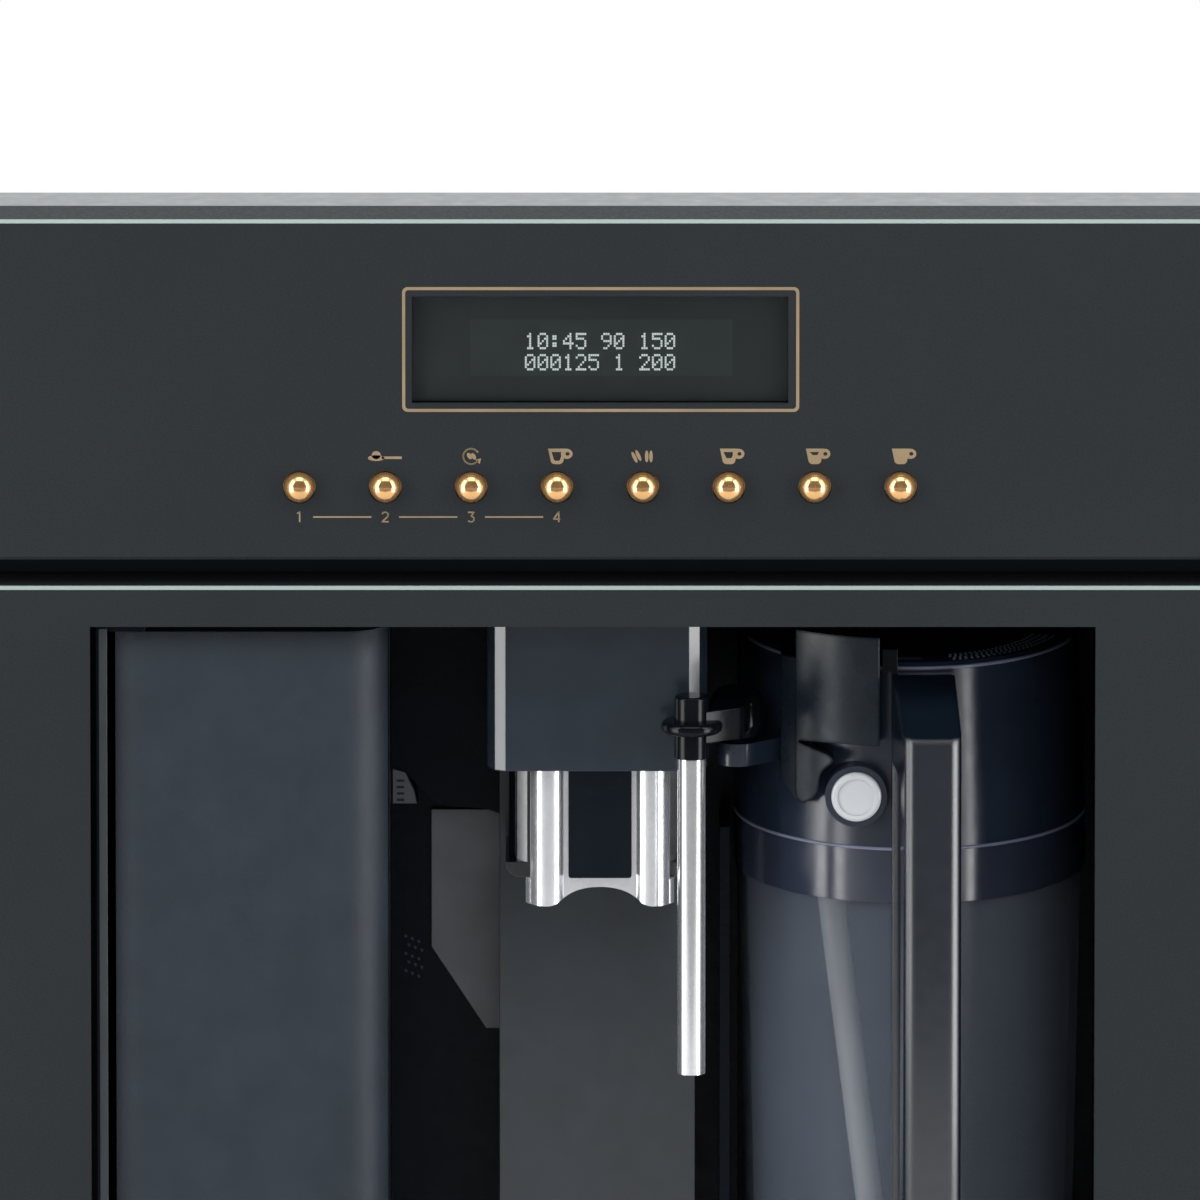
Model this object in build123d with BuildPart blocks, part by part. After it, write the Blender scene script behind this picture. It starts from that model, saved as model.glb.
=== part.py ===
"""Built-in coffee machine on pull-out runners: front panel, coffee and milk fittings, casing and the works.

Millimetres. +Z is up and the front faces -Y. The origin is the centre of the underside of the runner
tray, the face that stands on the shelf of the niche.
"""

from build123d import *
from math import atan2, degrees, hypot
import os

os.makedirs("parts", exist_ok=True)

# ---------------------------------------------------------------- driving sizes: front
overall_width = 597.0
overall_height = 455.0
front_lift = 1.0  # the front's lower edge above the shelf
front_y = -190.0  # plane of the visible front faces
front_depth = 21.0
front_sheet = 1.5
edge_bevel = 1.0
panel_height = 100.6
finger_gap = 7.8
bar_height = 12.0
foot_bar_height = 14.0
opening_shift = -2.1  # the recess sits a little left of the middle
return_depth = 12.0  # how deep the front folds back around the opening
backplate_sheet = 1.5

# ---------------------------------------------------------------- driving sizes: control panel
window_width = 109.0
window_height = 31.6
window_drop = 38.4  # from the panel's top edge to the middle of the window
glass_margin = 3.0
glass_thickness = 2.0
lcd_width = 98.0
lcd_height = 26.0
lcd_depth = 7.0
lcd_board_margin = 8.0
board_thickness = 1.6
button_count = 8
button_pitch = 24.9
button_drop = 79.0
button_radius = 4.45
button_travel = 1.2
press_gap = 0.3  # free play round the panel's holes and over a press
sliding_fit = 0.08
button_flange_radius = 6.0
button_flange = 1.0
button_stem_radius = 2.0
button_stem_length = 6.4
switch_side = 6.0
switch_height = 3.0
carrier_sheet = 2.0
carrier_sleeve = 1.5

# ---------------------------------------------------------------- driving sizes: casing and runners
casing_half_width = 206.0
casing_sheet = 1.2
casing_bottom = 8.0
casing_drop = 68.0  # from the top of the front to the top of the casing
casing_back = 190.0
tray_sheet = 1.5
runner_front = -160.0
runner_length = 300.0
runner_sheet = 1.6
runner_play = 0.3
runner_height = 24.0
runner_middle_z = 31.0
runner_reach = 16.0
shelf_hole_radius = 2.6
shelf_hole_pitch_x = 400.0
shelf_hole_pitch_y = 240.0

# ---------------------------------------------------------------- driving sizes: recess
liner_wall = 2.5
strip_width = 7.3  # black strip between the left edge of the opening and the service door
door_width = 79.0
door_gap = 0.5
door_depth = 24.0
door_set_back = 6.0
door_round = 13.0
cup_recess_width = 99.2
cup_recess_depth = 100.0
jug_bay_depth = 140.0
jug_left_play = 1.2
jug_right_play = 1.6
shelf_top = 98.0
tray_bay_height = 68.0
tray_bay_depth = 132.5

# ---------------------------------------------------------------- driving sizes: coffee spout
spout_shift = 10.8  # right of the middle of the cup recess
housing_half_width = 32.0
housing_set_back = 22.0
housing_length = 48.0
housing_round = 8.0
corner_facets = ((0.0, 6.6), (2.2, 1.8), (5.3, 0.0))  # inwards from the side, back from the front
column_half_width = 28.6
column_set_back = 75.0
spout_travel = 40.0
cover_overhang = 41.2  # how far the cover reaches below the housing
cover_lobe_spacing = 30.2
cover_lobe_radius = 5.25
cover_valley = 2.5
arch_height = 5.3
inlay_width = 18.4
inlay_lift = 8.4

# ---------------------------------------------------------------- driving sizes: milk jug
jug_half_width = 51.5
jug_front_reach = 62.0
jug_back_reach = 45.0
jug_set_back = 88.0
vessel_wall = 2.5
vessel_inset = 1.4
vessel_foot_inset = 4.5
lid_drop = 17.4  # from the recess's ceiling to the lid's top
lid_height = 54.9
lid_floor = 1.7
collar_reach = 14.4  # how far the collar reaches below the lid's floor
lid_top_inset = 2.6
clean_shift = -16.1  # from the jug's middle
clean_lift = 16.3  # above the lid's lower edge
clean_radius = 7.3
clean_travel = 1.5
froth_shift = -33.7
froth_width = 24.3
froth_rise = 9.2
froth_proud = 6.0
handle_shift = 6.0  # bar of the handle, right of the jug's middle
handle_root_shift = 3.2
handle_width = 16.6
handle_root_width = 18.2
handle_reach = 14.0  # how far the bar stands before the front
handle_bar = 13.0
handle_lift = 20.0  # above the shelf
arm_pivot_x = 39.9
arm_pivot_y = -147.0
milk_hub_x = 26.6
milk_hub_y = -178.0
milk_tube_radius = 4.1
milk_tube_length = 100.0

# ---------------------------------------------------------------- driving sizes: tray, tank, hopper
tray_width = 284.0
tray_depth = 124.0
tray_height = 48.0
tray_wall = 2.0
grounds_width = 73.0
grounds_top = 106.0
tank_bottom = 62.0
tank_drop = 62.0  # from the casing's top to the tank's rim
tank_front = -148.0
tank_back = 48.0
tank_wall = 2.2
tank_corner = 4.0
hopper_wall = 2.0

# ---------------------------------------------------------------- derived: front
front_top = front_lift + overall_height
panel_bottom = front_top - panel_height
frame_top = panel_bottom - finger_gap
jug_width = 2 * jug_half_width
left_share = strip_width + door_width + door_gap
opening_width = left_share + cup_recess_width + jug_left_play + jug_width + jug_right_play
opening_left = opening_shift - opening_width / 2
opening_right = opening_shift + opening_width / 2
opening_top = frame_top - bar_height
opening_bottom = front_lift + foot_bar_height
front_back_y = front_y + front_depth
cabinet_y = front_back_y + backplate_sheet
window_z = front_top - window_drop
button_z = front_top - button_drop
panel_z = (panel_bottom + front_top) / 2
glass_front = front_y + front_sheet
lcd_front = glass_front + glass_thickness
casing_inside = casing_half_width - casing_sheet
casing_top = front_top - casing_drop
tank_top = casing_top - tank_drop

# ---------------------------------------------------------------- derived: recess
liner_ceiling = opening_top + 0.4
recess_left = opening_left + strip_width - liner_wall
recess_right = opening_right + 1.45
door_left = opening_left + strip_width
door_right = door_left + door_width
door_front = front_y + door_set_back
door_back = door_front + door_depth
cup_left = door_right + door_gap
cup_right = cup_left + cup_recess_width
cup_back = front_y + cup_recess_depth
jug_bay_back = front_y + jug_bay_depth
liner_front = front_y + return_depth + 0.5
tray_bay_back = front_y + tray_bay_depth
brew_back = -5.0
brew_floor = grounds_top + 4
spout_x = (cup_left + cup_right) / 2 + spout_shift
housing_bottom = liner_ceiling - housing_length
cover_bottom = housing_bottom - cover_overhang
jug_x = cup_right + jug_left_play + jug_half_width
jug_y = front_y + jug_set_back
lid_top = liner_ceiling - lid_drop
lid_bottom = lid_top - lid_height
vessel_top = lid_bottom - lid_floor
collar_bottom = vessel_top - collar_reach


def front_plane(y):
    """An upright plane at that y, sketched as seen from the front; a minus amount extrudes to the back."""
    return Plane.XZ.offset(-y)


def slab(x_limits, y_limits, z_limits, mode=Mode.ADD):
    """A plate or block between three pairs of limits, in the part that is being built."""
    limits = (x_limits, y_limits, z_limits)
    with Locations(tuple((low + high) / 2 for low, high in limits)):
        return Box(*(high - low for low, high in limits), mode=mode)


def upright(x, y, radius, bottom, top, mode=Mode.ADD):
    """A standing cylinder between two heights, in the part that is being built."""
    with Locations((x, y, (bottom + top) / 2)):
        return Cylinder(radius, top - bottom, mode=mode)


def lying(x, z, radius, front, back, mode=Mode.ADD):
    """A cylinder along Y between two depths, in the part that is being built."""
    with Locations(Location((x, (front + back) / 2, z), (90, 0, 0))):
        return Cylinder(radius, back - front, mode=mode)


def crosswise(y, z, radius, left, right, mode=Mode.ADD):
    """A cylinder along X between two sides, in the part that is being built."""
    with Locations(Location(((left + right) / 2, y, z), (0, 90, 0))):
        return Cylinder(radius, right - left, mode=mode)


def save(piece, name):
    """Labels the finished piece and writes its STEP file."""
    piece.part.label = name
    export_step(piece.part, f"parts/{name}.step")


def button_x(index):
    """The x of a front button, counted from the left."""
    return (index - (button_count - 1) / 2) * button_pitch


# ================================================================ front panel
with BuildPart() as control_panel:
    with BuildSketch(front_plane(front_y)):
        with Locations((0, panel_z)):
            Rectangle(overall_width, panel_height)
    extrude(amount=-front_depth)
    chamfer(control_panel.faces().sort_by(Axis.Y)[0].edges(), edge_bevel)
    with BuildSketch(front_plane(front_y + front_sheet)):
        with Locations((0, panel_z)):
            Rectangle(overall_width - 2 * front_sheet, panel_height - 2 * front_sheet)
    extrude(amount=-front_depth, mode=Mode.SUBTRACT)
    with BuildSketch(front_plane(front_y)):
        with Locations((0, window_z)):
            Rectangle(window_width, window_height)
        with Locations(*[(button_x(i), button_z) for i in range(button_count)]):
            Circle(button_radius + press_gap)
    extrude(amount=-front_sheet, mode=Mode.SUBTRACT)
save(control_panel, "control_panel")

with BuildPart() as display_window:
    with BuildSketch(front_plane(glass_front)):
        with Locations((0, window_z)):
            RectangleRounded(window_width + 2 * glass_margin, window_height + 2 * glass_margin, 1.5)
    extrude(amount=-glass_thickness)
save(display_window, "display_window")

lcd_board_width = lcd_width + 2 * lcd_board_margin
lcd_board_height = lcd_height + lcd_board_margin
with BuildPart() as lcd_block:
    with BuildSketch(front_plane(lcd_front)):
        with Locations((0, window_z)):
            Rectangle(lcd_width, lcd_height)
    extrude(amount=-lcd_depth)
    with BuildSketch(front_plane(lcd_front + lcd_depth)):
        with Locations((0, window_z)):
            Rectangle(lcd_board_width, lcd_board_height)
    extrude(amount=-board_thickness)

# Moulded carrier behind the panel: it guides the button stems, frames the display and holds the board.
flange_front = glass_front + press_gap
stem_front = flange_front + button_flange
stem_end = stem_front + button_stem_length
carrier_front = stem_front + button_travel + press_gap + 1
carrier_back = carrier_front + carrier_sheet
sleeve_back = stem_end - press_gap
plunger_length = 1.0
board_front = stem_end + button_travel + press_gap + switch_height + plunger_length
board_width = (button_count - 1) * button_pitch + 50
board_height = 32.0
board_z = button_z
post_radius = 4.0
button_places = [(button_x(i), button_z) for i in range(button_count)]
with BuildPart() as panel_carrier:
    with BuildSketch(front_plane(carrier_front)):
        with Locations((0, panel_z)):
            RectangleRounded(overall_width - 20, panel_height - 8, 4)
        with Locations((0, window_z)):
            RectangleRounded(lcd_board_width + 2, lcd_board_height + 2, 1, mode=Mode.SUBTRACT)
    extrude(amount=-carrier_sheet)
    with BuildSketch(front_plane(carrier_front)):
        with Locations(*button_places):
            Circle(button_stem_radius + sliding_fit + carrier_sleeve)
    extrude(amount=carrier_front - sleeve_back)
    with BuildSketch(front_plane(carrier_front)):
        with Locations(*button_places):
            Circle(button_stem_radius + sliding_fit)
    extrude(amount=carrier_front - sleeve_back, mode=Mode.SUBTRACT)
    with BuildSketch(front_plane(carrier_back)):
        with Locations((0, board_z)):
            with GridLocations(board_width - 10, board_height - 8, 2, 2):
                Circle(post_radius - 1)
    extrude(amount=carrier_back - board_front)
    with BuildSketch(front_plane(carrier_back)):
        with Locations((0, panel_z)):
            with GridLocations(overall_width - 80, panel_height - 30, 2, 2):
                Circle(post_radius)
    extrude(amount=carrier_back - front_back_y)
save(panel_carrier, "panel_carrier")

with BuildPart() as control_boards:
    add(lcd_block.part)
    with BuildSketch(front_plane(board_front)):
        with Locations((0, board_z)):
            Rectangle(board_width, board_height)
    extrude(amount=-board_thickness)
    with BuildSketch(front_plane(board_front)):
        with Locations(*button_places):
            Rectangle(switch_side, switch_side)
    extrude(amount=switch_height)
    with BuildSketch(front_plane(board_front - switch_height)):
        with Locations(*button_places):
            Circle(button_stem_radius - 0.3)
    extrude(amount=plunger_length)
save(control_boards, "control_boards")

# The brass buttons: a dome, a flange behind the panel and a stem, turned about the button's own axis.
for number in range(button_count):
    x = button_x(number)
    with BuildPart() as button:
        with BuildSketch(Plane.XY.offset(button_z)):
            with BuildLine():
                CenterArc((x, front_y), button_radius, 0, -90)
                Polyline(
                    (x + button_radius, front_y),
                    (x + button_radius, flange_front),
                    (x + button_flange_radius, flange_front),
                    (x + button_flange_radius, stem_front),
                    (x + button_stem_radius, stem_front),
                    (x + button_stem_radius, stem_end),
                    (x, stem_end),
                    (x, front_y - button_radius),
                )
            make_face()
        revolve(axis=Axis((x, 0, button_z), (0, 1, 0)))
    save(button, f"button_{number + 1}")

# ================================================================ lower front frame
frame_height = frame_top - front_lift
frame_z = (front_lift + frame_top) / 2
opening_z = (opening_bottom + opening_top) / 2
opening_height = opening_top - opening_bottom
with BuildPart() as front_frame:
    with BuildSketch(front_plane(front_y)):
        with Locations((0, frame_z)):
            Rectangle(overall_width, frame_height)
    extrude(amount=-front_depth)
    chamfer(front_frame.faces().sort_by(Axis.Y)[0].edges(), edge_bevel)
    with BuildSketch(front_plane(front_y)):
        with Locations((opening_shift, opening_z)):
            Rectangle(opening_width, opening_height)
    extrude(amount=-front_depth, mode=Mode.SUBTRACT)
    with BuildSketch(front_plane(front_y + front_sheet)):
        with Locations((0, frame_z)):
            Rectangle(overall_width - 2 * front_sheet, frame_height - 2 * front_sheet)
        with Locations((opening_shift, opening_z)):
            Rectangle(opening_width + 2 * front_sheet, opening_height + 2 * front_sheet, mode=Mode.SUBTRACT)
    extrude(amount=-front_depth, mode=Mode.SUBTRACT)
    with BuildSketch(front_plane(front_y + return_depth)):
        with Locations((opening_shift, opening_z)):
            Rectangle(opening_width + 4 * front_sheet, opening_height + 4 * front_sheet)
    extrude(amount=-front_depth, mode=Mode.SUBTRACT)
save(front_frame, "front_frame")

# Steel backplate that joins both front pans and closes the casing's front round the recess.
liner_left = recess_left - 3.1
liner_right = recess_right + liner_wall
liner_bottom = opening_bottom - 1.5
liner_top = liner_ceiling + liner_wall
plate_play = 3.0
front_z = front_lift + overall_height / 2
cable_slot_z = panel_bottom + 14.6
bumper_width = 12.0
bumper_thickness = 3.0
bumper_height = overall_height - 75
bumper_x = overall_width / 2 - 9.5
with BuildPart() as backplate:
    with BuildSketch(front_plane(front_back_y)):
        with Locations((0, front_z)):
            Rectangle(overall_width - 1, overall_height - 1)
        with Locations(((liner_left + liner_right) / 2, (liner_bottom + liner_top) / 2)):
            Rectangle(
                liner_right - liner_left + 2 * plate_play,
                liner_top - liner_bottom + 2 * plate_play,
                mode=Mode.SUBTRACT,
            )
        with Locations((0, cable_slot_z)):
            SlotOverall(140, 20, mode=Mode.SUBTRACT)
    extrude(amount=-backplate_sheet)
    # strips that meet the cabinet's front edges
    with BuildSketch(front_plane(cabinet_y)):
        with Locations((-bumper_x, front_z), (bumper_x, front_z)):
            RectangleRounded(bumper_width, bumper_height, 2)
    extrude(amount=-bumper_thickness)
save(backplate, "backplate")

# ================================================================ casing
side_z = (casing_bottom, casing_top - casing_sheet)
floor_top = casing_bottom + casing_sheet
vent_length = 30.0
vent_width = 3.2
vent_pitch = 8.0
switch_y = 110.0
switch_z = casing_top - 48
switch_hole = (14.0, 20.0)
tank_cut_play = 2.0
cheek_rise = 3.4  # of the lid's hinge cheeks above the tank's rim
tank_middle_y = (tank_front + tank_back) / 2
runner_y = (runner_front, runner_front + runner_length)
middle_half = runner_height / 2 + runner_play + runner_sheet
outer_half = middle_half + runner_play + runner_sheet
middle_web = casing_half_width + runner_reach + runner_play + runner_sheet
outer_web = middle_web + runner_play + runner_sheet
flange_tip = casing_half_width + runner_sheet + 2 * runner_play


def channel(web_side, tip_side, half_height):
    """The two halves of a runner member, left and right: a web and two flanges that point away from it."""
    web_inside = web_side - runner_sheet if web_side > tip_side else web_side + runner_sheet
    for side in (-1, 1):
        web = sorted((side * web_side, side * web_inside))
        flange = sorted((side * web_side, side * tip_side))
        slab(web, runner_y, (runner_middle_z - half_height, runner_middle_z + half_height))
        for edge in (-1, 1):
            outside = runner_middle_z + edge * half_height
            slab(flange, runner_y, sorted((outside, outside - edge * runner_sheet)))


# Shell of the casing: one bent sheet that is floor and both sides, with the runners' inner members on it.
with BuildPart() as casing_shell:
    slab((-casing_half_width, casing_half_width), (cabinet_y, casing_back - casing_sheet), (casing_bottom, floor_top))
    for side in (-1, 1):
        slab(sorted((side * casing_inside, side * casing_half_width)), (cabinet_y, casing_back), side_z)
    with Locations((0, 120, casing_bottom)):
        with GridLocations(16, 1, 12, 1):
            Box(6, 50, 4 * casing_sheet, mode=Mode.SUBTRACT)
    left_vents = Location((-casing_half_width, 60, casing_top - 88), (0, 90, 0))
    right_vents = Location((casing_half_width, 120, casing_top - 208), (0, 90, 0))
    with Locations(left_vents, right_vents):
        with GridLocations(vent_length + 10, vent_pitch, 3, 12):
            Box(vent_length, vent_width, 4 * casing_sheet, mode=Mode.SUBTRACT)
    slab(
        (casing_inside - 1, casing_half_width + 1),
        (tank_front - tank_cut_play, tank_back + tank_cut_play),
        (tank_bottom - tank_cut_play, tank_top + cheek_rise + 0.6),
        mode=Mode.SUBTRACT,
    )
    with Locations((casing_half_width, switch_y, switch_z)):
        Box(4 * casing_sheet, *switch_hole, mode=Mode.SUBTRACT)
    channel(casing_half_width, casing_half_width + runner_reach, runner_height / 2)
save(casing_shell, "casing_shell")

inlet_x = 168.0
inlet_z = 60.0
inlet_size = (28.0, 22.0)
with BuildPart() as rear_panel:
    slab((-casing_inside, casing_inside), (casing_back - casing_sheet, casing_back), side_z)
    with Locations((inlet_x, casing_back, inlet_z)):
        Box(inlet_size[0], 4 * casing_sheet, inlet_size[1], mode=Mode.SUBTRACT)
    with Locations(Location((-60, casing_back, casing_top - 138), (90, 0, 0))):
        with GridLocations(vent_length + 10, vent_pitch, 4, 12):
            Box(vent_length, vent_width, 4 * casing_sheet, mode=Mode.SUBTRACT)
save(rear_panel, "rear_panel")

hopper_x = (-70.0, 60.0)
hopper_y = (-140.0, 20.0)
knob_x = 92.0
knob_y = -60.0
knob_shaft = 3.0
with BuildPart() as top_cover:
    slab(
        (-casing_half_width, casing_half_width),
        (cabinet_y, casing_back),
        (casing_top - casing_sheet, casing_top),
    )
    slab(hopper_x, hopper_y, (casing_top - 3, casing_top + 1), mode=Mode.SUBTRACT)
    upright(knob_x, knob_y, knob_shaft + sliding_fit, casing_top - 3, casing_top + 1, mode=Mode.SUBTRACT)
    with Locations((0, 120, casing_top)):
        with GridLocations(16, 60, 10, 1):
            Box(4, 50, 4 * casing_sheet, mode=Mode.SUBTRACT)
save(top_cover, "top_cover")

# ================================================================ pull-out runners
with BuildPart() as runner_tray:
    slab((-outer_web - tray_sheet, outer_web + tray_sheet), runner_y, (0, tray_sheet))
    for side in (-1, 1):
        wall = sorted((side * outer_web, side * (outer_web + tray_sheet)))
        slab(wall, runner_y, (0, runner_middle_z + outer_half))
    channel(outer_web, flange_tip, outer_half)
    with Locations((0, runner_front + runner_length / 2, 0)):
        with GridLocations(shelf_hole_pitch_x, shelf_hole_pitch_y, 2, 2):
            Cylinder(shelf_hole_radius, 4 * tray_sheet, mode=Mode.SUBTRACT)
        with GridLocations(1, 110, 1, 2):
            Box(300, 80, 4 * tray_sheet, mode=Mode.SUBTRACT)
save(runner_tray, "runner_tray")

with BuildPart() as middle_rails:
    channel(middle_web, flange_tip, middle_half)
save(middle_rails, "middle_rails")

# ================================================================ moulded liner of the recess
left_wall = (liner_left, recess_left)
right_wall = (recess_right, liner_right)
partition = (cup_left - liner_wall, cup_left)
liner_strip_front = front_y + 4.5
ledge = (tray_bay_height - 2, tray_bay_height + 0.5)
ceiling = (liner_ceiling, liner_top)
brew_slab = (brew_floor - 2, brew_floor)
cup_back_wall = (cup_back, cup_back + liner_wall)
bay_back_wall = (jug_bay_back, jug_bay_back + liner_wall)
tray_back_wall = (tray_bay_back, tray_bay_back + liner_wall)
brew_back_wall = (brew_back, brew_back + liner_wall)
brew_front = door_back + 2
shelf_front = front_y + 5.5
nose_right = opening_right - 0.3
divider_front = cup_back - 35
divider_top = liner_ceiling - 74
hinge_x = door_left + 2.7
hinge_y = door_front + 3
hinge_pin_radius = 1.6
hinge_play = 0.3
lug_thickness = 2.0
door_top = opening_top - 0.4 - lug_thickness - hinge_play
door_bottom = brew_floor - 0.1
door_height = door_top - door_bottom
lug_x = (recess_left, hinge_x + 6)
lug_front = hinge_y - 4
top_lug = (door_top + hinge_play, door_top + hinge_play + lug_thickness)
bottom_lug = (door_bottom - hinge_play - lug_thickness, door_bottom - hinge_play)
column_left = spout_x - column_half_width
shroud_front = cup_back - 14
lip_start = liner_ceiling - 60
lip_end = liner_ceiling - 74.7
louvre_x = (cup_left, cup_left + 7.9)
louvre_z = (liner_ceiling - 72, liner_ceiling - 60)
louvre_slots = 5
nozzle_z = lid_bottom + 26.3
nozzle_radius = 6.0
coffee_hose_radius = 2.5
water_hose_radius = 3.0
brew_x = (door_left + door_right) / 2 - 0.8
brew_y = -95.0
coffee_port_y = brew_y - 15
coffee_port_x = brew_x + 17
spout_inlet_y = coffee_port_y - 20
brew_hose_x = brew_x - 28
brew_hose_z = liner_ceiling - 20
chute_y = (-60.0, -40.0)
chute_z = (liner_ceiling - 46, liner_ceiling - 26)
flange_rim = 4.5
flange_outer = plate_play + flange_rim
flange_y = (cabinet_y, cabinet_y + liner_wall)
tray_side = brew_slab[0]  # the tray's housing ends below the brewing unit on the left
with BuildPart() as tray_housing:
    slab((liner_left, liner_right), (liner_front, tray_back_wall[1]), (liner_bottom, liner_bottom + liner_wall))
    slab(left_wall, (liner_front, tray_back_wall[1]), (liner_bottom + liner_wall, tray_side))
    slab(right_wall, (liner_front, tray_back_wall[1]), (liner_bottom + liner_wall, ledge[0]))
    slab((recess_left, cup_left), tray_back_wall, (liner_bottom + liner_wall, tray_side))
    slab((cup_left, recess_right), tray_back_wall, (liner_bottom + liner_wall, ledge[0]))
    # flange that screws to the backplate
    slab((liner_left - flange_outer, liner_left), flange_y, (liner_bottom - plate_play, tray_side))
    slab((liner_right, liner_right + flange_outer), flange_y, (liner_bottom - plate_play, ledge[0]))
    slab((liner_left, liner_right), flange_y, (liner_bottom - plate_play, liner_bottom))
save(tray_housing, "tray_housing")

with BuildPart() as bay_liner:
    # side walls, with the strip that shows left of the door
    slab(left_wall, (liner_front, brew_back_wall[1]), (brew_slab[0], liner_top))
    slab(left_wall, (liner_strip_front, liner_front), (opening_bottom + 1, opening_top - 0.4))
    slab(right_wall, (liner_front, bay_back_wall[1]), (ledge[0], liner_top))
    # service compartment: partition, floor, back and the hinge lugs of the door
    slab(partition, (brew_front, brew_back_wall[1]), (brew_slab[0], liner_top))
    slab(partition, (brew_front, tray_back_wall[0]), (ledge[0], brew_slab[0]))
    slab((liner_left, cup_left), (brew_front, brew_back_wall[1]), brew_slab)
    slab((liner_left, cup_left), brew_back_wall, (brew_slab[0], liner_top))
    slab(lug_x, (lug_front, liner_front + 5), top_lug)
    slab(lug_x, (lug_front, brew_front), bottom_lug)
    # cup recess, jug bay and the shelf under the jug
    slab((cup_left, cup_right + liner_wall), cup_back_wall, (ledge[0], liner_top))
    slab((cup_left, liner_right), (cup_back, bay_back_wall[1]), ledge)
    slab((cup_right - 3, cup_right), (divider_front, cup_back), (tray_bay_height, divider_top))
    slab((cup_right, cup_right + liner_wall), (cup_back, bay_back_wall[1]), (ledge[0], liner_top))
    slab((cup_right, liner_right), bay_back_wall, (ledge[0], liner_top))
    slab((cup_right, recess_right), (liner_front, jug_bay_back), (shelf_top - liner_wall, shelf_top))
    slab((cup_right, nose_right), (shelf_front, liner_front), (shelf_top - liner_wall, shelf_top))
    slab((cup_right, nose_right), (shelf_front, shelf_front + liner_wall), (tray_bay_height, shelf_top))
    slab((cup_right, cup_right + liner_wall), (shelf_front, cup_back), (tray_bay_height, shelf_top))
    # ceiling and the flange that screws to the backplate
    slab((liner_left, liner_right), (liner_front, cup_back_wall[1]), ceiling)
    slab((cup_right, liner_right), (cup_back, bay_back_wall[1]), ceiling)
    slab((liner_left, cup_left), (cup_back, brew_back_wall[1]), ceiling)
    slab((liner_left - flange_outer, liner_left), flange_y, (tray_side, liner_top + plate_play))
    slab((liner_right, liner_right + flange_outer), flange_y, (ledge[0], liner_top + plate_play))
    slab((liner_left, liner_right), flange_y, (liner_top, liner_top + plate_play))
    # shroud at the top of the cup recess, with a waved lower lip
    lip_span = column_left - cup_left
    lip_drop = lip_start - lip_end
    with BuildSketch(front_plane(shroud_front)):
        with BuildLine():
            Line((cup_left, liner_ceiling), (cup_left, lip_start))
            Spline(
                (cup_left, lip_start),
                (cup_left + 0.2 * lip_span, lip_start - 0.3 * lip_drop),
                (cup_left + 0.41 * lip_span, lip_start - 0.78 * lip_drop),
                (cup_left + 0.64 * lip_span, lip_start - 0.86 * lip_drop),
                (column_left, lip_end),
            )
            Line((column_left, lip_end), (column_left, liner_ceiling))
            Line((column_left, liner_ceiling), (cup_left, liner_ceiling))
        make_face()
    extrude(amount=shroud_front - cup_back)
    # small louvre under the lip's left end
    with BuildSketch(front_plane(shroud_front + 1)):
        with BuildLine():
            Polyline(
                (louvre_x[0], louvre_z[0]),
                (louvre_x[1], louvre_z[0]),
                (louvre_x[1] - 0.8, louvre_z[0] + 4),
                (louvre_x[0] + 4.5, louvre_z[1] - 1.5),
                (louvre_x[0] + 4.5, lip_start + 3),
                (louvre_x[0], lip_start + 3),
                close=True,
            )
        make_face()
    extrude(amount=shroud_front + 1 - cup_back)
    with BuildSketch(front_plane(shroud_front + 1)):
        with Locations((louvre_x[0] + 2.8, louvre_z[0] + 5)):
            with GridLocations(1, 1.9, 1, louvre_slots):
                SlotOverall(2.2, 0.9)
    extrude(amount=-2, mode=Mode.SUBTRACT)
    # openings for the chute, the grounds, the hoses, the nozzle and the hinge pins
    slab((partition[0] - 1, cup_left + 1), chute_y, chute_z, mode=Mode.SUBTRACT)
    slab((brew_x - 23, brew_x + 22), (brew_y - 45, brew_y), (brew_slab[0] - 1, brew_floor + 1), mode=Mode.SUBTRACT)
    upright(coffee_port_x, coffee_port_y, coffee_hose_radius, *ceiling, mode=Mode.SUBTRACT)
    upright(spout_x, spout_inlet_y, coffee_hose_radius, *ceiling, mode=Mode.SUBTRACT)
    lying(brew_hose_x, brew_hose_z, water_hose_radius, *brew_back_wall, mode=Mode.SUBTRACT)
    lying(jug_x, nozzle_z, nozzle_radius, *bay_back_wall, mode=Mode.SUBTRACT)
    upright(hinge_x, hinge_y, hinge_pin_radius + sliding_fit, *top_lug, mode=Mode.SUBTRACT)
    upright(hinge_x, hinge_y, hinge_pin_radius + sliding_fit, *bottom_lug, mode=Mode.SUBTRACT)
save(bay_liner, "bay_liner")

# Grey lamp lens on the recess's back wall, its lower left corner cut off.
lens_left = cup_left + 11.8
lens_top = liner_ceiling - 76
lens_corner_z = liner_ceiling - 117.2
lens_bottom = liner_ceiling - 141.7
with BuildPart() as recess_lamp:
    with BuildSketch(front_plane(cup_back - 2)):
        with BuildLine():
            Polyline(
                (lens_left, lens_top),
                (lens_left, lens_corner_z),
                (lens_left + 16, lens_bottom),
                (column_left, lens_bottom),
                (column_left, lens_top),
                close=True,
            )
        make_face()
    extrude(amount=-2)
save(recess_lamp, "recess_lamp")

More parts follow.
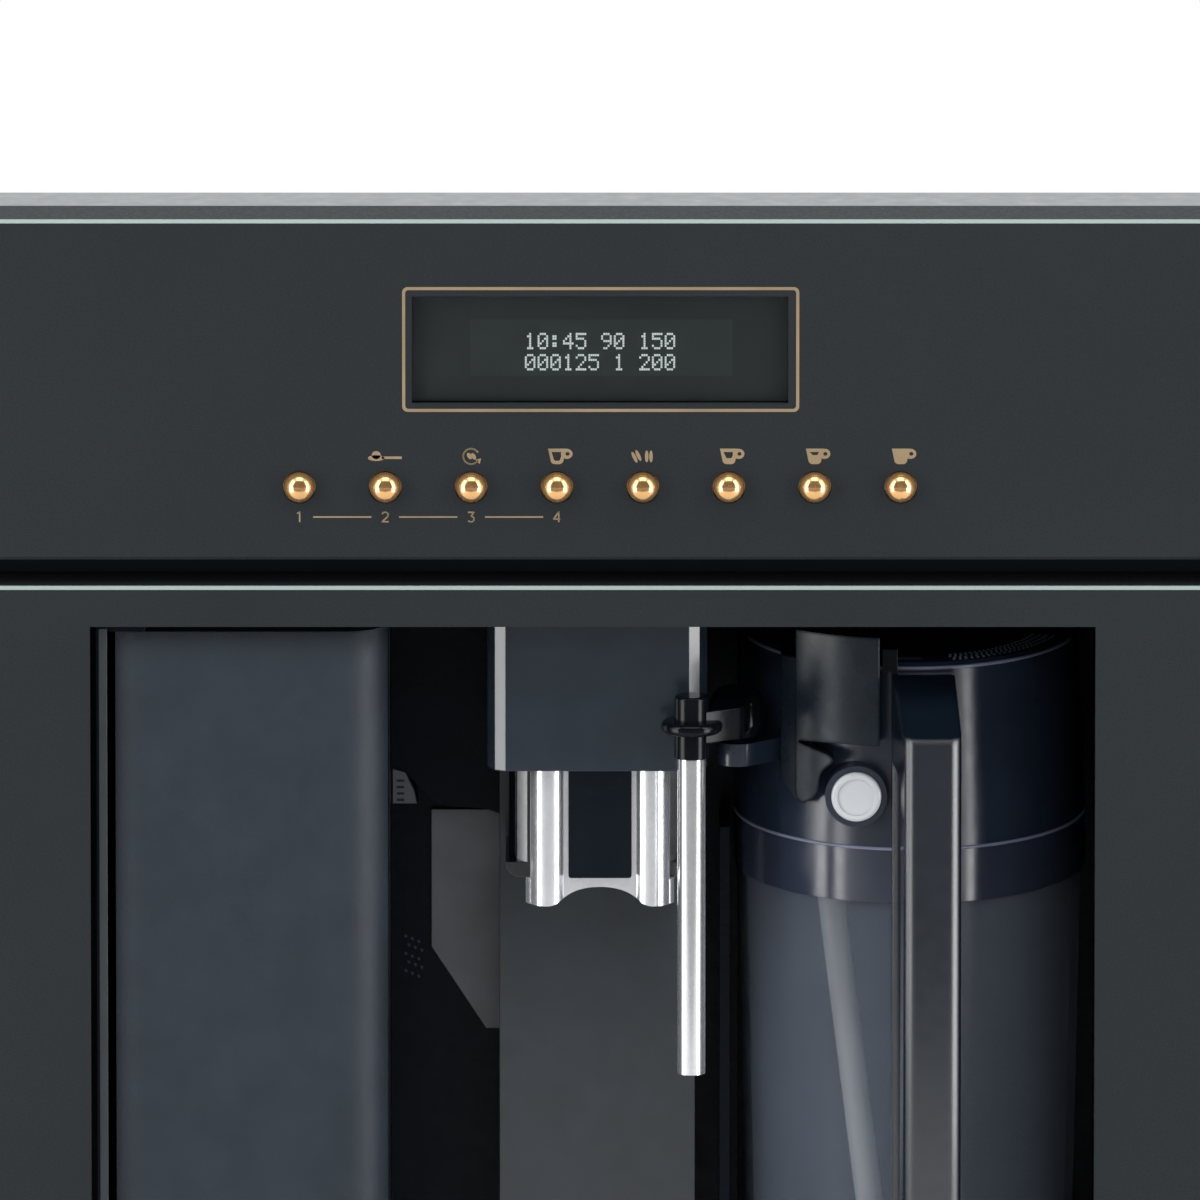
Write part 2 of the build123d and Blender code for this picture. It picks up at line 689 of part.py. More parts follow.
door_wall = 3.0
rib_thickness = 2.0
with BuildPart() as service_door:
    with BuildSketch(Plane.XY.offset(door_bottom)):
        with Locations(((door_left + door_right) / 2, (door_front + door_back) / 2)):
            Rectangle(door_width, door_depth)
        fillet(vertices().group_by(Axis.Y)[0].sort_by(Axis.X)[-1], door_round)
    extrude(amount=door_height)
    with BuildSketch(Plane.XY.offset(door_bottom + door_wall)):
        with Locations(((door_left + door_right) / 2, (door_front + door_back) / 2 + door_wall)):
            Rectangle(door_width - 2 * door_wall, door_depth)
        fillet(vertices().group_by(Axis.Y)[0].sort_by(Axis.X)[-1], door_round - door_wall)
    extrude(amount=door_height - 2 * door_wall, mode=Mode.SUBTRACT)
    for share in (1 / 3, 2 / 3):
        rib_z = door_bottom + share * door_height
        slab(
            (door_left + 1, door_right - 1),
            (door_front + door_round, door_back - 4),
            (rib_z - rib_thickness / 2, rib_z + rib_thickness / 2),
        )
    upright(hinge_x, hinge_y, hinge_pin_radius, door_top - 1, top_lug[1])
    upright(hinge_x, hinge_y, hinge_pin_radius, bottom_lug[0], door_bottom + 1)
save(service_door, "service_door")

# ================================================================ coffee spout
spout_wall = 2.5
housing_front = front_y + housing_set_back
column_front = front_y + column_set_back
housing_inner_half = housing_half_width - spout_wall
rib_half = 7.0
rib_head_half = 11.0
rib_head = 2.5
rib_bottom = cover_bottom + spout_travel + 3.2
rib_top = liner_ceiling - 6


def faceted_plan(height, half_width, front, back):
    """A rectangle seen from above whose two front corners are cut to narrow facets, as a sketch."""
    left = [(spout_x - half_width + inwards, front + set_back) for inwards, set_back in corner_facets]
    right = [(spout_x + half_width - inwards, front + set_back) for inwards, set_back in reversed(corner_facets)]
    with BuildSketch(Plane.XY.offset(height)) as plan:
        with BuildLine():
            Polyline((spout_x - half_width, back), *left, *right, (spout_x + half_width, back), close=True)
        make_face()
    return plan.sketch


housing_middle_y = (housing_front + column_front) / 2
housing_depth = column_front - housing_front
housing_plan = faceted_plan(housing_bottom, housing_half_width, housing_front, column_front)
with BuildPart() as spout_housing:
    extrude(housing_plan, amount=liner_ceiling - housing_bottom)
    with BuildSketch(Plane.XY.offset(housing_bottom)):
        with Locations((spout_x, housing_middle_y + spout_wall / 2)):
            Rectangle(2 * housing_inner_half, housing_depth - spout_wall)
        fillet(vertices().group_by(Axis.Y)[0], housing_round - spout_wall)
    extrude(amount=liner_ceiling - housing_bottom - spout_wall, mode=Mode.SUBTRACT)
    # the column behind it, hollow and open to the back wall, with a slot that guides the spout carrier
    column_z = (ledge[1], liner_ceiling)
    slab((column_left, column_left + 2 * column_half_width), (column_front, cup_back), column_z)
    slab(
        (column_left + spout_wall, column_left + 2 * column_half_width - spout_wall),
        (column_front + spout_wall, cup_back),
        (column_z[0] + spout_wall, column_z[1] - spout_wall),
        mode=Mode.SUBTRACT,
    )
    slab(
        (spout_x - rib_half - press_gap, spout_x + rib_half + press_gap),
        (column_front, column_front + spout_wall),
        (rib_bottom - spout_travel - press_gap, column_z[1] - spout_wall),
        mode=Mode.SUBTRACT,
    )
    upright(spout_x, spout_inlet_y, coffee_hose_radius, liner_ceiling - spout_wall, liner_ceiling, mode=Mode.SUBTRACT)
save(spout_housing, "spout_housing")

carrier_lip_half = housing_inner_half - 2.8
carrier_half = carrier_lip_half - 1
spout_carrier_wall = 2.0
spout_carrier_y = (housing_front + 11, column_front - 6)
spout_carrier_z = (cover_bottom + 7.2, liner_ceiling - spout_wall - 1.5)
carrier_lip_z = (spout_carrier_z[0], spout_carrier_z[0] + 4.5)
cover_x = spout_x + 0.8
cover_front = front_y + 26
tip_radius = 1.3
tip_bore = 0.7
tip_spacing = 3.3
tip_y = cover_front + 13
with BuildPart() as spout_carrier:
    slab((spout_x - carrier_lip_half, spout_x + carrier_lip_half), spout_carrier_y, carrier_lip_z)
    fillet(spout_carrier.faces().sort_by(Axis.Z)[0].edges().filter_by(Axis.Y), 4)
    carrier_plan = faceted_plan(carrier_lip_z[1], carrier_half, *spout_carrier_y)
    extrude(carrier_plan, amount=spout_carrier_z[1] - carrier_lip_z[1])
    slab(
        (spout_x - carrier_half + spout_carrier_wall, spout_x + carrier_half - spout_carrier_wall),
        (spout_carrier_y[0] + spout_carrier_wall, spout_carrier_y[1] - spout_carrier_wall),
        (spout_carrier_z[0] + 6, spout_carrier_z[1] + 1),
        mode=Mode.SUBTRACT,
    )
    # guide rib with a head that runs behind the column's front
    guide_z = (rib_bottom, rib_top)
    head_y = column_front + spout_wall + press_gap
    slab((spout_x - rib_half, spout_x + rib_half), (spout_carrier_y[1], head_y), guide_z)
    slab((spout_x - rib_head_half, spout_x + rib_head_half), (head_y, head_y + rib_head), guide_z)
    # four outlet tips, two under each lobe of the cover
    for side in (-1, 1):
        for step in (-1, 1):
            tip_x = cover_x + side * (cover_lobe_spacing / 2 - 0.9) + step * tip_spacing / 2
            upright(tip_x, tip_y, tip_radius, cover_bottom - 1.6, spout_carrier_z[0] + 6)
            upright(tip_x, tip_y, tip_bore, cover_bottom - 1.6, spout_carrier_z[0] + 6, mode=Mode.SUBTRACT)
save(spout_carrier, "spout_carrier")

cover_top = housing_bottom + 13
lobe_y = cover_front + cover_lobe_radius
web_front = cover_front + cover_valley
cover_back = spout_carrier_y[0]
foot_half = 21.6
foot_back = cover_back + 10
arch_half = 15.6
with BuildPart() as spout_cover:
    with BuildSketch(Plane.XY.offset(cover_bottom)):
        for side in (-1, 1):
            with Locations((cover_x + side * cover_lobe_spacing / 2, lobe_y)):
                Circle(cover_lobe_radius)
        with Locations((cover_x, (web_front + cover_back) / 2)):
            Rectangle(cover_lobe_spacing, cover_back - web_front)
        with Locations((cover_x, cover_back + 10)):
            Rectangle(3 * cover_lobe_spacing, 20, mode=Mode.SUBTRACT)
    extrude(amount=cover_top - cover_bottom)
    # skirt round the carrier's foot
    with BuildSketch(Plane.XY.offset(cover_bottom)):
        with Locations((cover_x, (web_front + 1 + foot_back) / 2)):
            RectangleRounded(2 * foot_half, foot_back - web_front - 1, 3)
        with Locations((cover_x, cover_back + 8)):
            Rectangle(2 * foot_half - 3, 16, mode=Mode.SUBTRACT)
    extrude(amount=spout_carrier_z[0] - cover_bottom)
    # waved arch between the lobes
    with BuildSketch(front_plane(cover_front - 1)):
        with BuildLine():
            Spline(
                (cover_x - arch_half, cover_bottom),
                (cover_x - 0.6 * arch_half, cover_bottom + 0.55 * arch_height),
                (cover_x, cover_bottom + arch_height),
                (cover_x + 0.6 * arch_half, cover_bottom + 0.55 * arch_height),
                (cover_x + arch_half, cover_bottom),
                tangents=((1, 0), (1, 0)),
            )
            Polyline(
                (cover_x + arch_half, cover_bottom),
                (cover_x + arch_half, cover_bottom - 2),
                (cover_x - arch_half, cover_bottom - 2),
                (cover_x - arch_half, cover_bottom),
            )
        make_face()
    extrude(amount=cover_front - 2 - foot_back, mode=Mode.SUBTRACT)
save(spout_cover, "spout_cover")

inlay_bottom = cover_bottom + inlay_lift
with BuildPart() as spout_inlay:
    with BuildSketch(front_plane(web_front)):
        with Locations((cover_x, (inlay_bottom + cover_top) / 2)):
            Rectangle(inlay_width, cover_top - inlay_bottom)
        fillet(vertices().group_by(Axis.Y)[0], 0.8)
    extrude(amount=cover_valley - 0.3)
save(spout_inlay, "spout_inlay")

nozzle_front = jug_y + jug_back_reach - 18
with BuildPart() as steam_nozzle:
    lying(jug_x, nozzle_z, nozzle_radius, nozzle_front, jug_bay_back + 6)
    lying(jug_x, nozzle_z, nozzle_radius + 3, bay_back_wall[1], bay_back_wall[1] + 2)
    lying(jug_x, nozzle_z, 2.5, nozzle_front - 1, jug_bay_back + 7, mode=Mode.SUBTRACT)
save(steam_nozzle, "steam_nozzle")

# ================================================================ milk jug
jug_bottom = shelf_top + press_gap
waist_z = collar_bottom - 10


def jug_layer(height, inset):
    """The jug's plan at that height: two half ellipses of one width, the front one deeper than the back."""
    half_width = jug_half_width - inset
    with BuildSketch(Plane.XY.offset(height)) as layer:
        with BuildLine():
            EllipticalCenterArc((jug_x, jug_y), half_width, jug_front_reach - inset, 180, arc_size=180)
            EllipticalCenterArc((jug_x, jug_y), half_width, jug_back_reach - inset, 0, arc_size=180)
        make_face()
    return layer.sketch


def jug_shape(levels, mode=Mode.ADD):
    """A tapered solid through pairs of height and inset, in the part that is being built."""
    for (low, low_inset), (high, high_inset) in zip(levels, levels[1:]):
        if low_inset == high_inset:
            extrude(jug_layer(low, low_inset), amount=high - low, mode=mode)
        else:
            loft([jug_layer(low, low_inset), jug_layer(high, high_inset)], ruled=True, mode=mode)


vessel_base = 4.0
with BuildPart() as jug_vessel:
    jug_shape(((jug_bottom, vessel_foot_inset), (waist_z, vessel_inset), (vessel_top, vessel_inset)))
    foot_inside = vessel_foot_inset + vessel_wall
    inside = vessel_inset + vessel_wall
    jug_shape(
        ((jug_bottom + vessel_base, foot_inside), (waist_z, inside), (vessel_top, inside)),
        mode=Mode.SUBTRACT,
    )
save(jug_vessel, "jug_vessel")

collar_play = 0.05
with BuildPart() as jug_collar:
    extrude(jug_layer(collar_bottom, 0), amount=lid_bottom - collar_bottom)
    inner = jug_layer(collar_bottom, vessel_inset - collar_play)
    extrude(inner, amount=lid_bottom - collar_bottom, mode=Mode.SUBTRACT)
save(jug_collar, "jug_collar")

intake_radius = 4.0
intake_bore = 2.8
intake_top = (jug_x - 24.7, jug_y - 18, vessel_top)
intake_bottom = (jug_x - 6.7, jug_y - 18, jug_bottom + vessel_base + 6)
plug_depth = 6.0
with BuildPart() as milk_intake_tube:
    with BuildLine() as intake_run:
        FilletPolyline(
            (intake_top[0], intake_top[1], vessel_top),
            (intake_top[0], intake_top[1], vessel_top - 9),
            intake_bottom,
            radius=12,
        )
    with BuildSketch(Plane(origin=intake_run.line @ 0, z_dir=intake_run.line % 0)):
        Circle(intake_radius)
        Circle(intake_bore, mode=Mode.SUBTRACT)
    sweep(path=intake_run.line)
save(milk_intake_tube, "milk_intake_tube")

lid_edge = 1.5
lid_roof = 2.5
arm_z = (lid_top - 19.6, lid_top - 10.4)
boss_z = (lid_top - 25.6, lid_top - 9.8)
boss_radius = 8.0
arm_pin_radius = 2.5
arm_pin_top = boss_z[1] - 3
ear_z = (boss_z[0] - 7, boss_z[0] - press_gap)
ear_width = 12.0
ear_length = 44.0
ear_angle = 43.0
clean_x = jug_x + clean_shift
clean_z = lid_bottom + clean_lift
froth_left = jug_x + froth_shift
froth_right = froth_left + froth_width
froth_top = lid_top + froth_rise
clean_y = (jug_y - jug_front_reach - 2, jug_y - jug_front_reach + 8)
clean_wall = 1.8
slider_x = (froth_right + 0.8, froth_right + 5.3)
slider_travel = 8.0
slider_front = jug_y - jug_front_reach - 2
slider_neck_x = (slider_x[0] + 1, slider_x[1] - 1)
slider_neck_y = (slider_front + 10, slider_front + 13)


def ear_outline(play):
    """The plan of the ear that carries the milk arm, grown by some play."""
    with BuildSketch(Plane.XY.offset(ear_z[0])) as outline:
        with Locations(Location((arm_pivot_x, arm_pivot_y), ear_angle)):
            with Locations((ear_length / 2 - ear_width / 2, 0)):
                SlotOverall(ear_length + 2 * play, ear_width + 2 * play)
    return outline.sketch


with BuildPart() as jug_lid:
    jug_shape(((lid_bottom, 0), (lid_top, lid_top_inset)))
    chamfer(jug_lid.faces().sort_by(Axis.Z)[-1].edges(), lid_edge)
    jug_shape(
        ((lid_bottom, vessel_wall), (lid_top - lid_roof, lid_top_inset + vessel_wall)),
        mode=Mode.SUBTRACT,
    )
    # floor plate and the plug that centres the lid in the vessel, with the port of the intake tube
    extrude(jug_layer(vessel_top, vessel_inset), amount=lid_bottom - vessel_top)
    extrude(jug_layer(vessel_top - plug_depth, inside + collar_play), amount=plug_depth)
    extrude(jug_layer(vessel_top - plug_depth, inside + 2), amount=plug_depth, mode=Mode.SUBTRACT)
    upright(intake_top[0], intake_top[1], intake_bore, vessel_top, lid_bottom, mode=Mode.SUBTRACT)
    # ear and pin of the swivelling milk arm
    extrude(ear_outline(0), amount=ear_z[1] - ear_z[0])
    upright(arm_pivot_x, arm_pivot_y, arm_pin_radius, ear_z[1] - 1, arm_pin_top)
    # cup that takes the clean button, socket of the steam nozzle, slot of the froth slider
    lying(clean_x, clean_z, clean_radius + clean_wall, *clean_y)
    lying(clean_x, clean_z, clean_radius + sliding_fit, clean_y[0], clean_y[1] - 2, mode=Mode.SUBTRACT)
    lying(jug_x, nozzle_z, nozzle_radius + 3, nozzle_front - 6, jug_y + jug_back_reach - lid_top_inset - 1)
    lying(jug_x, nozzle_z, nozzle_radius + sliding_fit, nozzle_front - 2, jug_y + jug_back_reach, mode=Mode.SUBTRACT)
    slab(
        (slider_neck_x[0] - press_gap, slider_neck_x[1] + slider_travel + press_gap),
        (slider_neck_y[0] - press_gap, slider_neck_y[1] + press_gap),
        (lid_top - lid_roof - 1, lid_top + 1),
        mode=Mode.SUBTRACT,
    )
save(jug_lid, "jug_lid")

with BuildPart() as froth_slider:
    slab(slider_x, (slider_front, slider_neck_y[1] + 2), (lid_top + press_gap, froth_top - 4))
    slab(slider_x, (slider_front, slider_front + 3.5), (lid_top - 1.6, froth_top - 4))
    slab(slider_neck_x, slider_neck_y, (lid_top - lid_roof - press_gap, lid_top + press_gap))
    slab(
        (slider_x[0], slider_x[1]),
        (slider_neck_y[0] - 2, slider_neck_y[1] + 2),
        (lid_top - lid_roof - press_gap - 2.5, lid_top - lid_roof - press_gap),
    )
save(froth_slider, "froth_slider")

with BuildPart() as clean_button:
    button_y = (clean_y[0] - 1.6, clean_y[1] - 2 - clean_travel - press_gap)
    lying(clean_x, clean_z, clean_radius, *button_y)
    fillet(clean_button.faces().sort_by(Axis.Y)[0].edges(), 1)
    lying(clean_x, clean_z, clean_radius - 1.9, button_y[0], button_y[0] + 0.4, mode=Mode.SUBTRACT)
save(clean_button, "clean_button")

# Froth cover: a block that follows the lid's curved front, waved round the clean button, on a thinner skirt.
froth_step_z = clean_z + 15.6
froth_back = jug_y - 18
froth_low_z = clean_z - 10
skirt_rim = 4.3
skirt_proud = 3.0
with BuildSketch(front_plane(front_y)) as froth_face:
    with BuildLine():
        Polyline(
            (clean_x + 1, froth_step_z),
            (froth_right, froth_step_z),
            (froth_right, froth_top),
            (froth_left, froth_top),
            (froth_left, clean_z),
        )
        Spline(
            (froth_left, clean_z),
            (froth_left + 2.2, clean_z - 3.1),
            (froth_left + 6.1, clean_z),
            (froth_left + 8.3, clean_z + 7.5),
            (froth_left + 10.3, clean_z + 11.2),
            (clean_x + 1, froth_step_z),
            tangents=((0, -1), (1, 0)),
        )
    make_face()
skirt_left = froth_left - skirt_rim
skirt_right = froth_left + 4.6
with BuildSketch(front_plane(front_y)) as skirt_face:
    with BuildLine():
        Spline(
            (skirt_left, clean_z + 4),
            (froth_left - 1.2, clean_z - 2.5),
            (froth_left + 2.6, clean_z - 4.6),
            tangents=((0, -1), (1, -0.2)),
        )
        Polyline(
            (froth_left + 2.6, clean_z - 4.6),
            (skirt_right, clean_z - 1.4),
            (skirt_right, lid_top),
            (skirt_left, lid_top),
            (skirt_left, clean_z + 4),
        )
    make_face()
with BuildPart() as froth_skirt:
    extrude(skirt_face.sketch, amount=front_y - froth_back)
    extrude(jug_layer(froth_low_z, -skirt_proud), amount=lid_top - froth_low_z, mode=Mode.INTERSECT)
with BuildPart() as froth_cover:
    extrude(froth_face.sketch, amount=front_y - froth_back)
    extrude(jug_layer(froth_low_z, -froth_proud), amount=froth_top - froth_low_z, mode=Mode.INTERSECT)
    add(froth_skirt.part)
    jug_shape(((lid_bottom, 0), (lid_top, lid_top_inset)), mode=Mode.SUBTRACT)
    lying(clean_x, clean_z, clean_radius + clean_wall + sliding_fit, front_y, froth_back, mode=Mode.SUBTRACT)
    extrude(ear_outline(sliding_fit), amount=ear_z[1] - ear_z[0], mode=Mode.SUBTRACT)
save(froth_cover, "froth_cover")

# Handle: cap, front bar and the strip against the jug. The side view and the plan are cut out of one block.
handle_back = jug_y - jug_front_reach - 0.2
handle_front = front_y - handle_reach
handle_bottom = shelf_top + handle_lift
strip_thickness = 4.0
handle_x = jug_x + handle_shift
handle_root_x = jug_x + handle_root_shift
strip_x = (handle_x - 11.6, handle_x + 7.2)
cap_top = lid_top - 2.2
brow_z = lid_top - 14
grip_back = handle_front + handle_bar
with BuildSketch(Plane.XY.offset(handle_bottom)) as handle_plan:
    with BuildLine():
        Polyline(
            (handle_root_x - handle_root_width / 2, handle_back + 6),
            (handle_root_x - handle_root_width / 2, handle_back),
            (handle_x - handle_width / 2, handle_front),
            (handle_x + handle_width / 2, handle_front),
            (handle_root_x + handle_root_width / 2, handle_back),
            (handle_root_x + handle_root_width / 2, handle_back + 6),
            close=True,
        )
    make_face()
    fillet(handle_plan.vertices().group_by(Axis.Y)[0], 3.5)
with BuildPart() as jug_handle:
    with BuildSketch(Plane.YZ.offset(handle_x - handle_width)):
        with BuildLine():
            Polyline(
                (handle_back + 6, cap_top),
                (handle_back - 3, cap_top),
                (handle_front, brow_z),
                (handle_front, handle_bottom),
                (handle_back, handle_bottom),
                (handle_back + 6, handle_bottom),
                close=True,
            )
        make_face()
        with BuildLine():
            Polyline(
                (handle_back - strip_thickness, brow_z - 14),
                (handle_back - strip_thickness, handle_bottom + 10),
                (grip_back, handle_bottom + 10),
                (grip_back, brow_z - 14),
                close=True,
            )
        make_face(mode=Mode.SUBTRACT)
    extrude(amount=2 * handle_width)
    extrude(handle_plan.sketch, amount=cap_top - handle_bottom, mode=Mode.INTERSECT)
    slab(strip_x, (handle_back - strip_thickness, handle_back + 4), (handle_bottom, cap_top - 6))
    jug_shape(((handle_bottom - 20, 0), (lid_bottom, 0), (lid_top, lid_top_inset)), mode=Mode.SUBTRACT)
save(jug_handle, "jug_handle")

hub_radius = 5.0
hub_z = (arm_z[0] - 4.6, arm_z[1] + 4.6)
ring_radius = 8.9
ring_z = (arm_z[0] + 2.8, arm_z[0] + 6.4)
arm_width = 9.0
socket_depth = 6.0
arm_places = ((milk_hub_x, milk_hub_y), (arm_pivot_x - 2.4, milk_hub_y + 7), (arm_pivot_x, arm_pivot_y))
with BuildPart() as milk_arm:
    upright(milk_hub_x, milk_hub_y, ring_radius, *ring_z)
    fillet(milk_arm.edges().filter_by(GeomType.CIRCLE), 1.6)
    upright(milk_hub_x, milk_hub_y, hub_radius, *hub_z)
    fillet(milk_arm.faces().sort_by(Axis.Z)[-1].edges(), 1)
    with BuildSketch(Plane.XY.offset(arm_z[0])):
        for start, end in zip(arm_places, arm_places[1:]):
            reach = (end[0] - start[0], end[1] - start[1])
            with Locations(((start[0] + end[0]) / 2, (start[1] + end[1]) / 2)):
                SlotCenterToCenter(hypot(*reach), arm_width, rotation=degrees(atan2(reach[1], reach[0])))
    extrude(amount=arm_z[1] - arm_z[0])
    with BuildPart(mode=Mode.PRIVATE) as boss:
        upright(arm_pivot_x, arm_pivot_y, boss_radius, *boss_z)
        fillet(boss.edges().filter_by(GeomType.CIRCLE), 5.5)
    add(boss.part)
    upright(milk_hub_x, milk_hub_y, milk_tube_radius, hub_z[0], hub_z[0] + socket_depth, mode=Mode.SUBTRACT)
    upright(
        arm_pivot_x,
        arm_pivot_y,
        arm_pin_radius + sliding_fit,
        boss_z[0],
        arm_pin_top + press_gap,
        mode=Mode.SUBTRACT,
    )
save(milk_arm, "milk_arm")

milk_tube_top = hub_z[0] + socket_depth
milk_tube_bore = 3.1
with BuildPart() as milk_tube:
    upright(milk_hub_x, milk_hub_y, milk_tube_radius, milk_tube_top - milk_tube_length, milk_tube_top)
    upright(
        milk_hub_x, milk_hub_y, milk_tube_bore, milk_tube_top - milk_tube_length, milk_tube_top, mode=Mode.SUBTRACT
    )
save(milk_tube, "milk_tube")

# ================================================================ drip tray, grounds container, grille, float
tray_x = (-tray_width / 2, tray_width / 2)
tray_y = (door_front, door_front + tray_depth)
tray_z = (liner_bottom + liner_wall + press_gap, liner_bottom + liner_wall + press_gap + tray_height)
tray_floor = tray_z[0] + tray_wall
grille_sheet = 1.6
grille_x = (cup_left + 0.5, cup_right - 3.5)
grille_y = (tray_y[0] + tray_wall + press_gap, column_front - 2)
grille_seat = tray_z[1] - grille_sheet
rib_left = (grille_x[0] - 1, grille_x[0] + 1)
rib_right = (grille_x[1] - 1, grille_x[1] + 1)
float_place = (grille_x[0] + 11, grille_y[1] + 12)
float_radius = 4.5
float_bottom = tray_floor + 4
float_sleeve_top = tray_floor + 26
with BuildPart() as drip_tray:
    slab(tray_x, tray_y, tray_z)
    fillet(drip_tray.edges().filter_by(Axis.Z), 2.5)
    inside_x = (tray_x[0] + tray_wall, tray_x[1] - tray_wall)
    inside_y = (tray_y[0] + tray_wall, tray_y[1] - tray_wall)
    slab(inside_x, inside_y, (tray_floor, tray_z[1] + 1), mode=Mode.SUBTRACT)
    for rib in (rib_left, rib_right):
        slab(rib, inside_y, (tray_floor, grille_seat))
    upright(*float_place, float_radius + 2, tray_floor, float_sleeve_top)
    upright(*float_place, float_radius + sliding_fit, float_bottom - press_gap, float_sleeve_top, mode=Mode.SUBTRACT)
save(drip_tray, "drip_tray")

grounds_x = (tray_x[0] + tray_wall + 0.4, tray_x[0] + tray_wall + 0.4 + grounds_width)
grounds_y = (tray_y[0] + tray_wall + press_gap, tray_y[1] - 10)
grounds_floor = tray_floor + tray_wall
with BuildPart() as grounds_container:
    slab(grounds_x, grounds_y, (tray_floor, grounds_top))
    slab(grounds_x, (tray_y[0], grounds_y[0]), (tray_z[1] + press_gap, grounds_top))
    fillet(grounds_container.edges().filter_by(Axis.Z).group_by(Axis.Y)[-1], 3)
    slab(
        (grounds_x[0] + tray_wall, grounds_x[1] - tray_wall),
        (grounds_y[0] + tray_wall, grounds_y[1] - tray_wall),
        (grounds_floor, grounds_top + 1),
        mode=Mode.SUBTRACT,
    )
save(grounds_container, "grounds_container")

slot_columns = 11
slot_rows = 2
slot_length = 22.0
slot_width = 3.6
with BuildPart() as cup_grille:
    slab(grille_x, grille_y, (grille_seat, tray_z[1]))
    with BuildSketch(Plane.XY.offset(grille_seat)):
        with Locations(((grille_x[0] + grille_x[1]) / 2 + 8, (grille_y[0] + grille_y[1]) / 2)):
            with GridLocations(7.2, 28, slot_columns, slot_rows):
                SlotOverall(slot_length, slot_width, rotation=90)
    extrude(amount=grille_sheet, mode=Mode.SUBTRACT)
save(cup_grille, "cup_grille")

with BuildPart() as tray_float:
    upright(*float_place, float_radius, float_bottom, tray_z[1])
    fillet(tray_float.faces().sort_by(Axis.Z)[-1].edges(), 1.5)
save(tray_float, "tray_float")

# ================================================================ water tank
tank_x = (liner_right + 4.65, casing_half_width - press_gap)
tank_y = (tank_front, tank_back)
spigot_y = 10.0
spigot_z = tank_bottom + 13
spigot_radius = 5.0
socket_x = (liner_right - 12, liner_right + 2)
cradle_wall = (socket_x[1], socket_x[1] + 1.5)
with BuildPart() as tank_cradle:
    cradle_y = (tank_front - 3, tank_back + 3)
    slab((cradle_wall[0], casing_inside), cradle_y, (tank_bottom - 2, tank_bottom - press_gap))
    slab(cradle_wall, cradle_y, (floor_top, tank_top + 2))
    for y in (cradle_y[0], cradle_y[1] - 2):
        slab((cradle_wall[0], casing_inside), (y, y + 2), (floor_top, tank_bottom - press_gap))
    crosswise(spigot_y, spigot_z, spigot_radius + 3, *socket_x)
    crosswise(spigot_y, spigot_z, spigot_radius + sliding_fit, socket_x[0] + 6, cradle_wall[1], mode=Mode.SUBTRACT)
    crosswise(spigot_y, spigot_z, water_hose_radius - 1, socket_x[0], socket_x[0] + 6, mode=Mode.SUBTRACT)
save(tank_cradle, "tank_cradle")

tank_lid_z = (tank_top + press_gap, tank_top + press_gap + tank_wall)
tank_lid_right = casing_inside - 3 * press_gap
lid_bead_radius = tank_wall / 2
lid_pin_x = tank_x[0] + lid_bead_radius
lid_pin_z = tank_top + press_gap + lid_bead_radius
cheek_length = 3.4
cheek_width = 2.5
cheek_y = (tank_y[0] + tank_corner, tank_y[1] - tank_corner - cheek_width)
with BuildPart() as water_tank:
    slab(tank_x, tank_y, (tank_bottom, tank_top))
    fillet(water_tank.edges().filter_by(Axis.Z), tank_corner)
    slab(
        (tank_x[0] + tank_wall, tank_x[1] - tank_wall),
        (tank_y[0] + tank_wall, tank_y[1] - tank_wall),
        (tank_bottom + tank_wall, tank_top + 1),
        mode=Mode.SUBTRACT,
    )
    crosswise(spigot_y, spigot_z, spigot_radius, socket_x[0] + 6 + press_gap, tank_x[0] + 1)
    crosswise(spigot_y, spigot_z, spigot_radius - 2, socket_x[0] + 6, tank_x[0] + 4, mode=Mode.SUBTRACT)
    # finger recess in the outer wall, to pull the tank out sideways
    grip_z = (tank_top - 60, tank_top - 36)
    slab((tank_x[1] - 14, tank_x[1] - 12 + tank_wall), (tank_middle_y - 40, tank_middle_y + 40), grip_z)
    for z in grip_z:
        slab((tank_x[1] - 14, tank_x[1]), (tank_middle_y - 40, tank_middle_y + 40), (z - 1, z + 1))
    for y in (tank_middle_y - 40, tank_middle_y + 38):
        slab((tank_x[1] - 14, tank_x[1]), (y, y + 2), grip_z)
    slab(
        (tank_x[1] - 12 + tank_wall, tank_x[1] + 1),
        (tank_middle_y - 38, tank_middle_y + 38),
        (grip_z[0] + 1, grip_z[1] - 1),
        mode=Mode.SUBTRACT,
    )
    # cheeks that hold the lid's hinge pins
    for y in cheek_y:
        slab((tank_x[0], tank_x[0] + cheek_length), (y, y + cheek_width), (tank_top - 2, tank_top + cheek_rise))
    lying(lid_pin_x, lid_pin_z, lid_bead_radius + sliding_fit, *tank_y, mode=Mode.SUBTRACT)
save(water_tank, "water_tank")

with BuildPart() as tank_lid:
    slab((lid_pin_x, tank_lid_right), tank_y, tank_lid_z)
    fillet(tank_lid.edges().filter_by(Axis.Z).group_by(Axis.X)[-1], tank_corner)
    for y in (tank_y[0] - 1, cheek_y[1] - press_gap):
        notch_y = (y, y + cheek_y[0] - tank_y[0] + cheek_width + press_gap + 1)
        slab((lid_pin_x - 1, tank_x[0] + cheek_length + 1), notch_y, tank_lid_z, mode=Mode.SUBTRACT)
    lying(lid_pin_x, lid_pin_z, lid_bead_radius, cheek_y[0] + 0.2, cheek_y[1] + cheek_width - 0.2)
    slab(
        (tank_lid_right - 10, tank_lid_right - 4),
        (tank_middle_y - 15, tank_middle_y + 15),
        (tank_lid_z[0], tank_lid_z[1] + 1),
    )
save(tank_lid, "tank_lid")

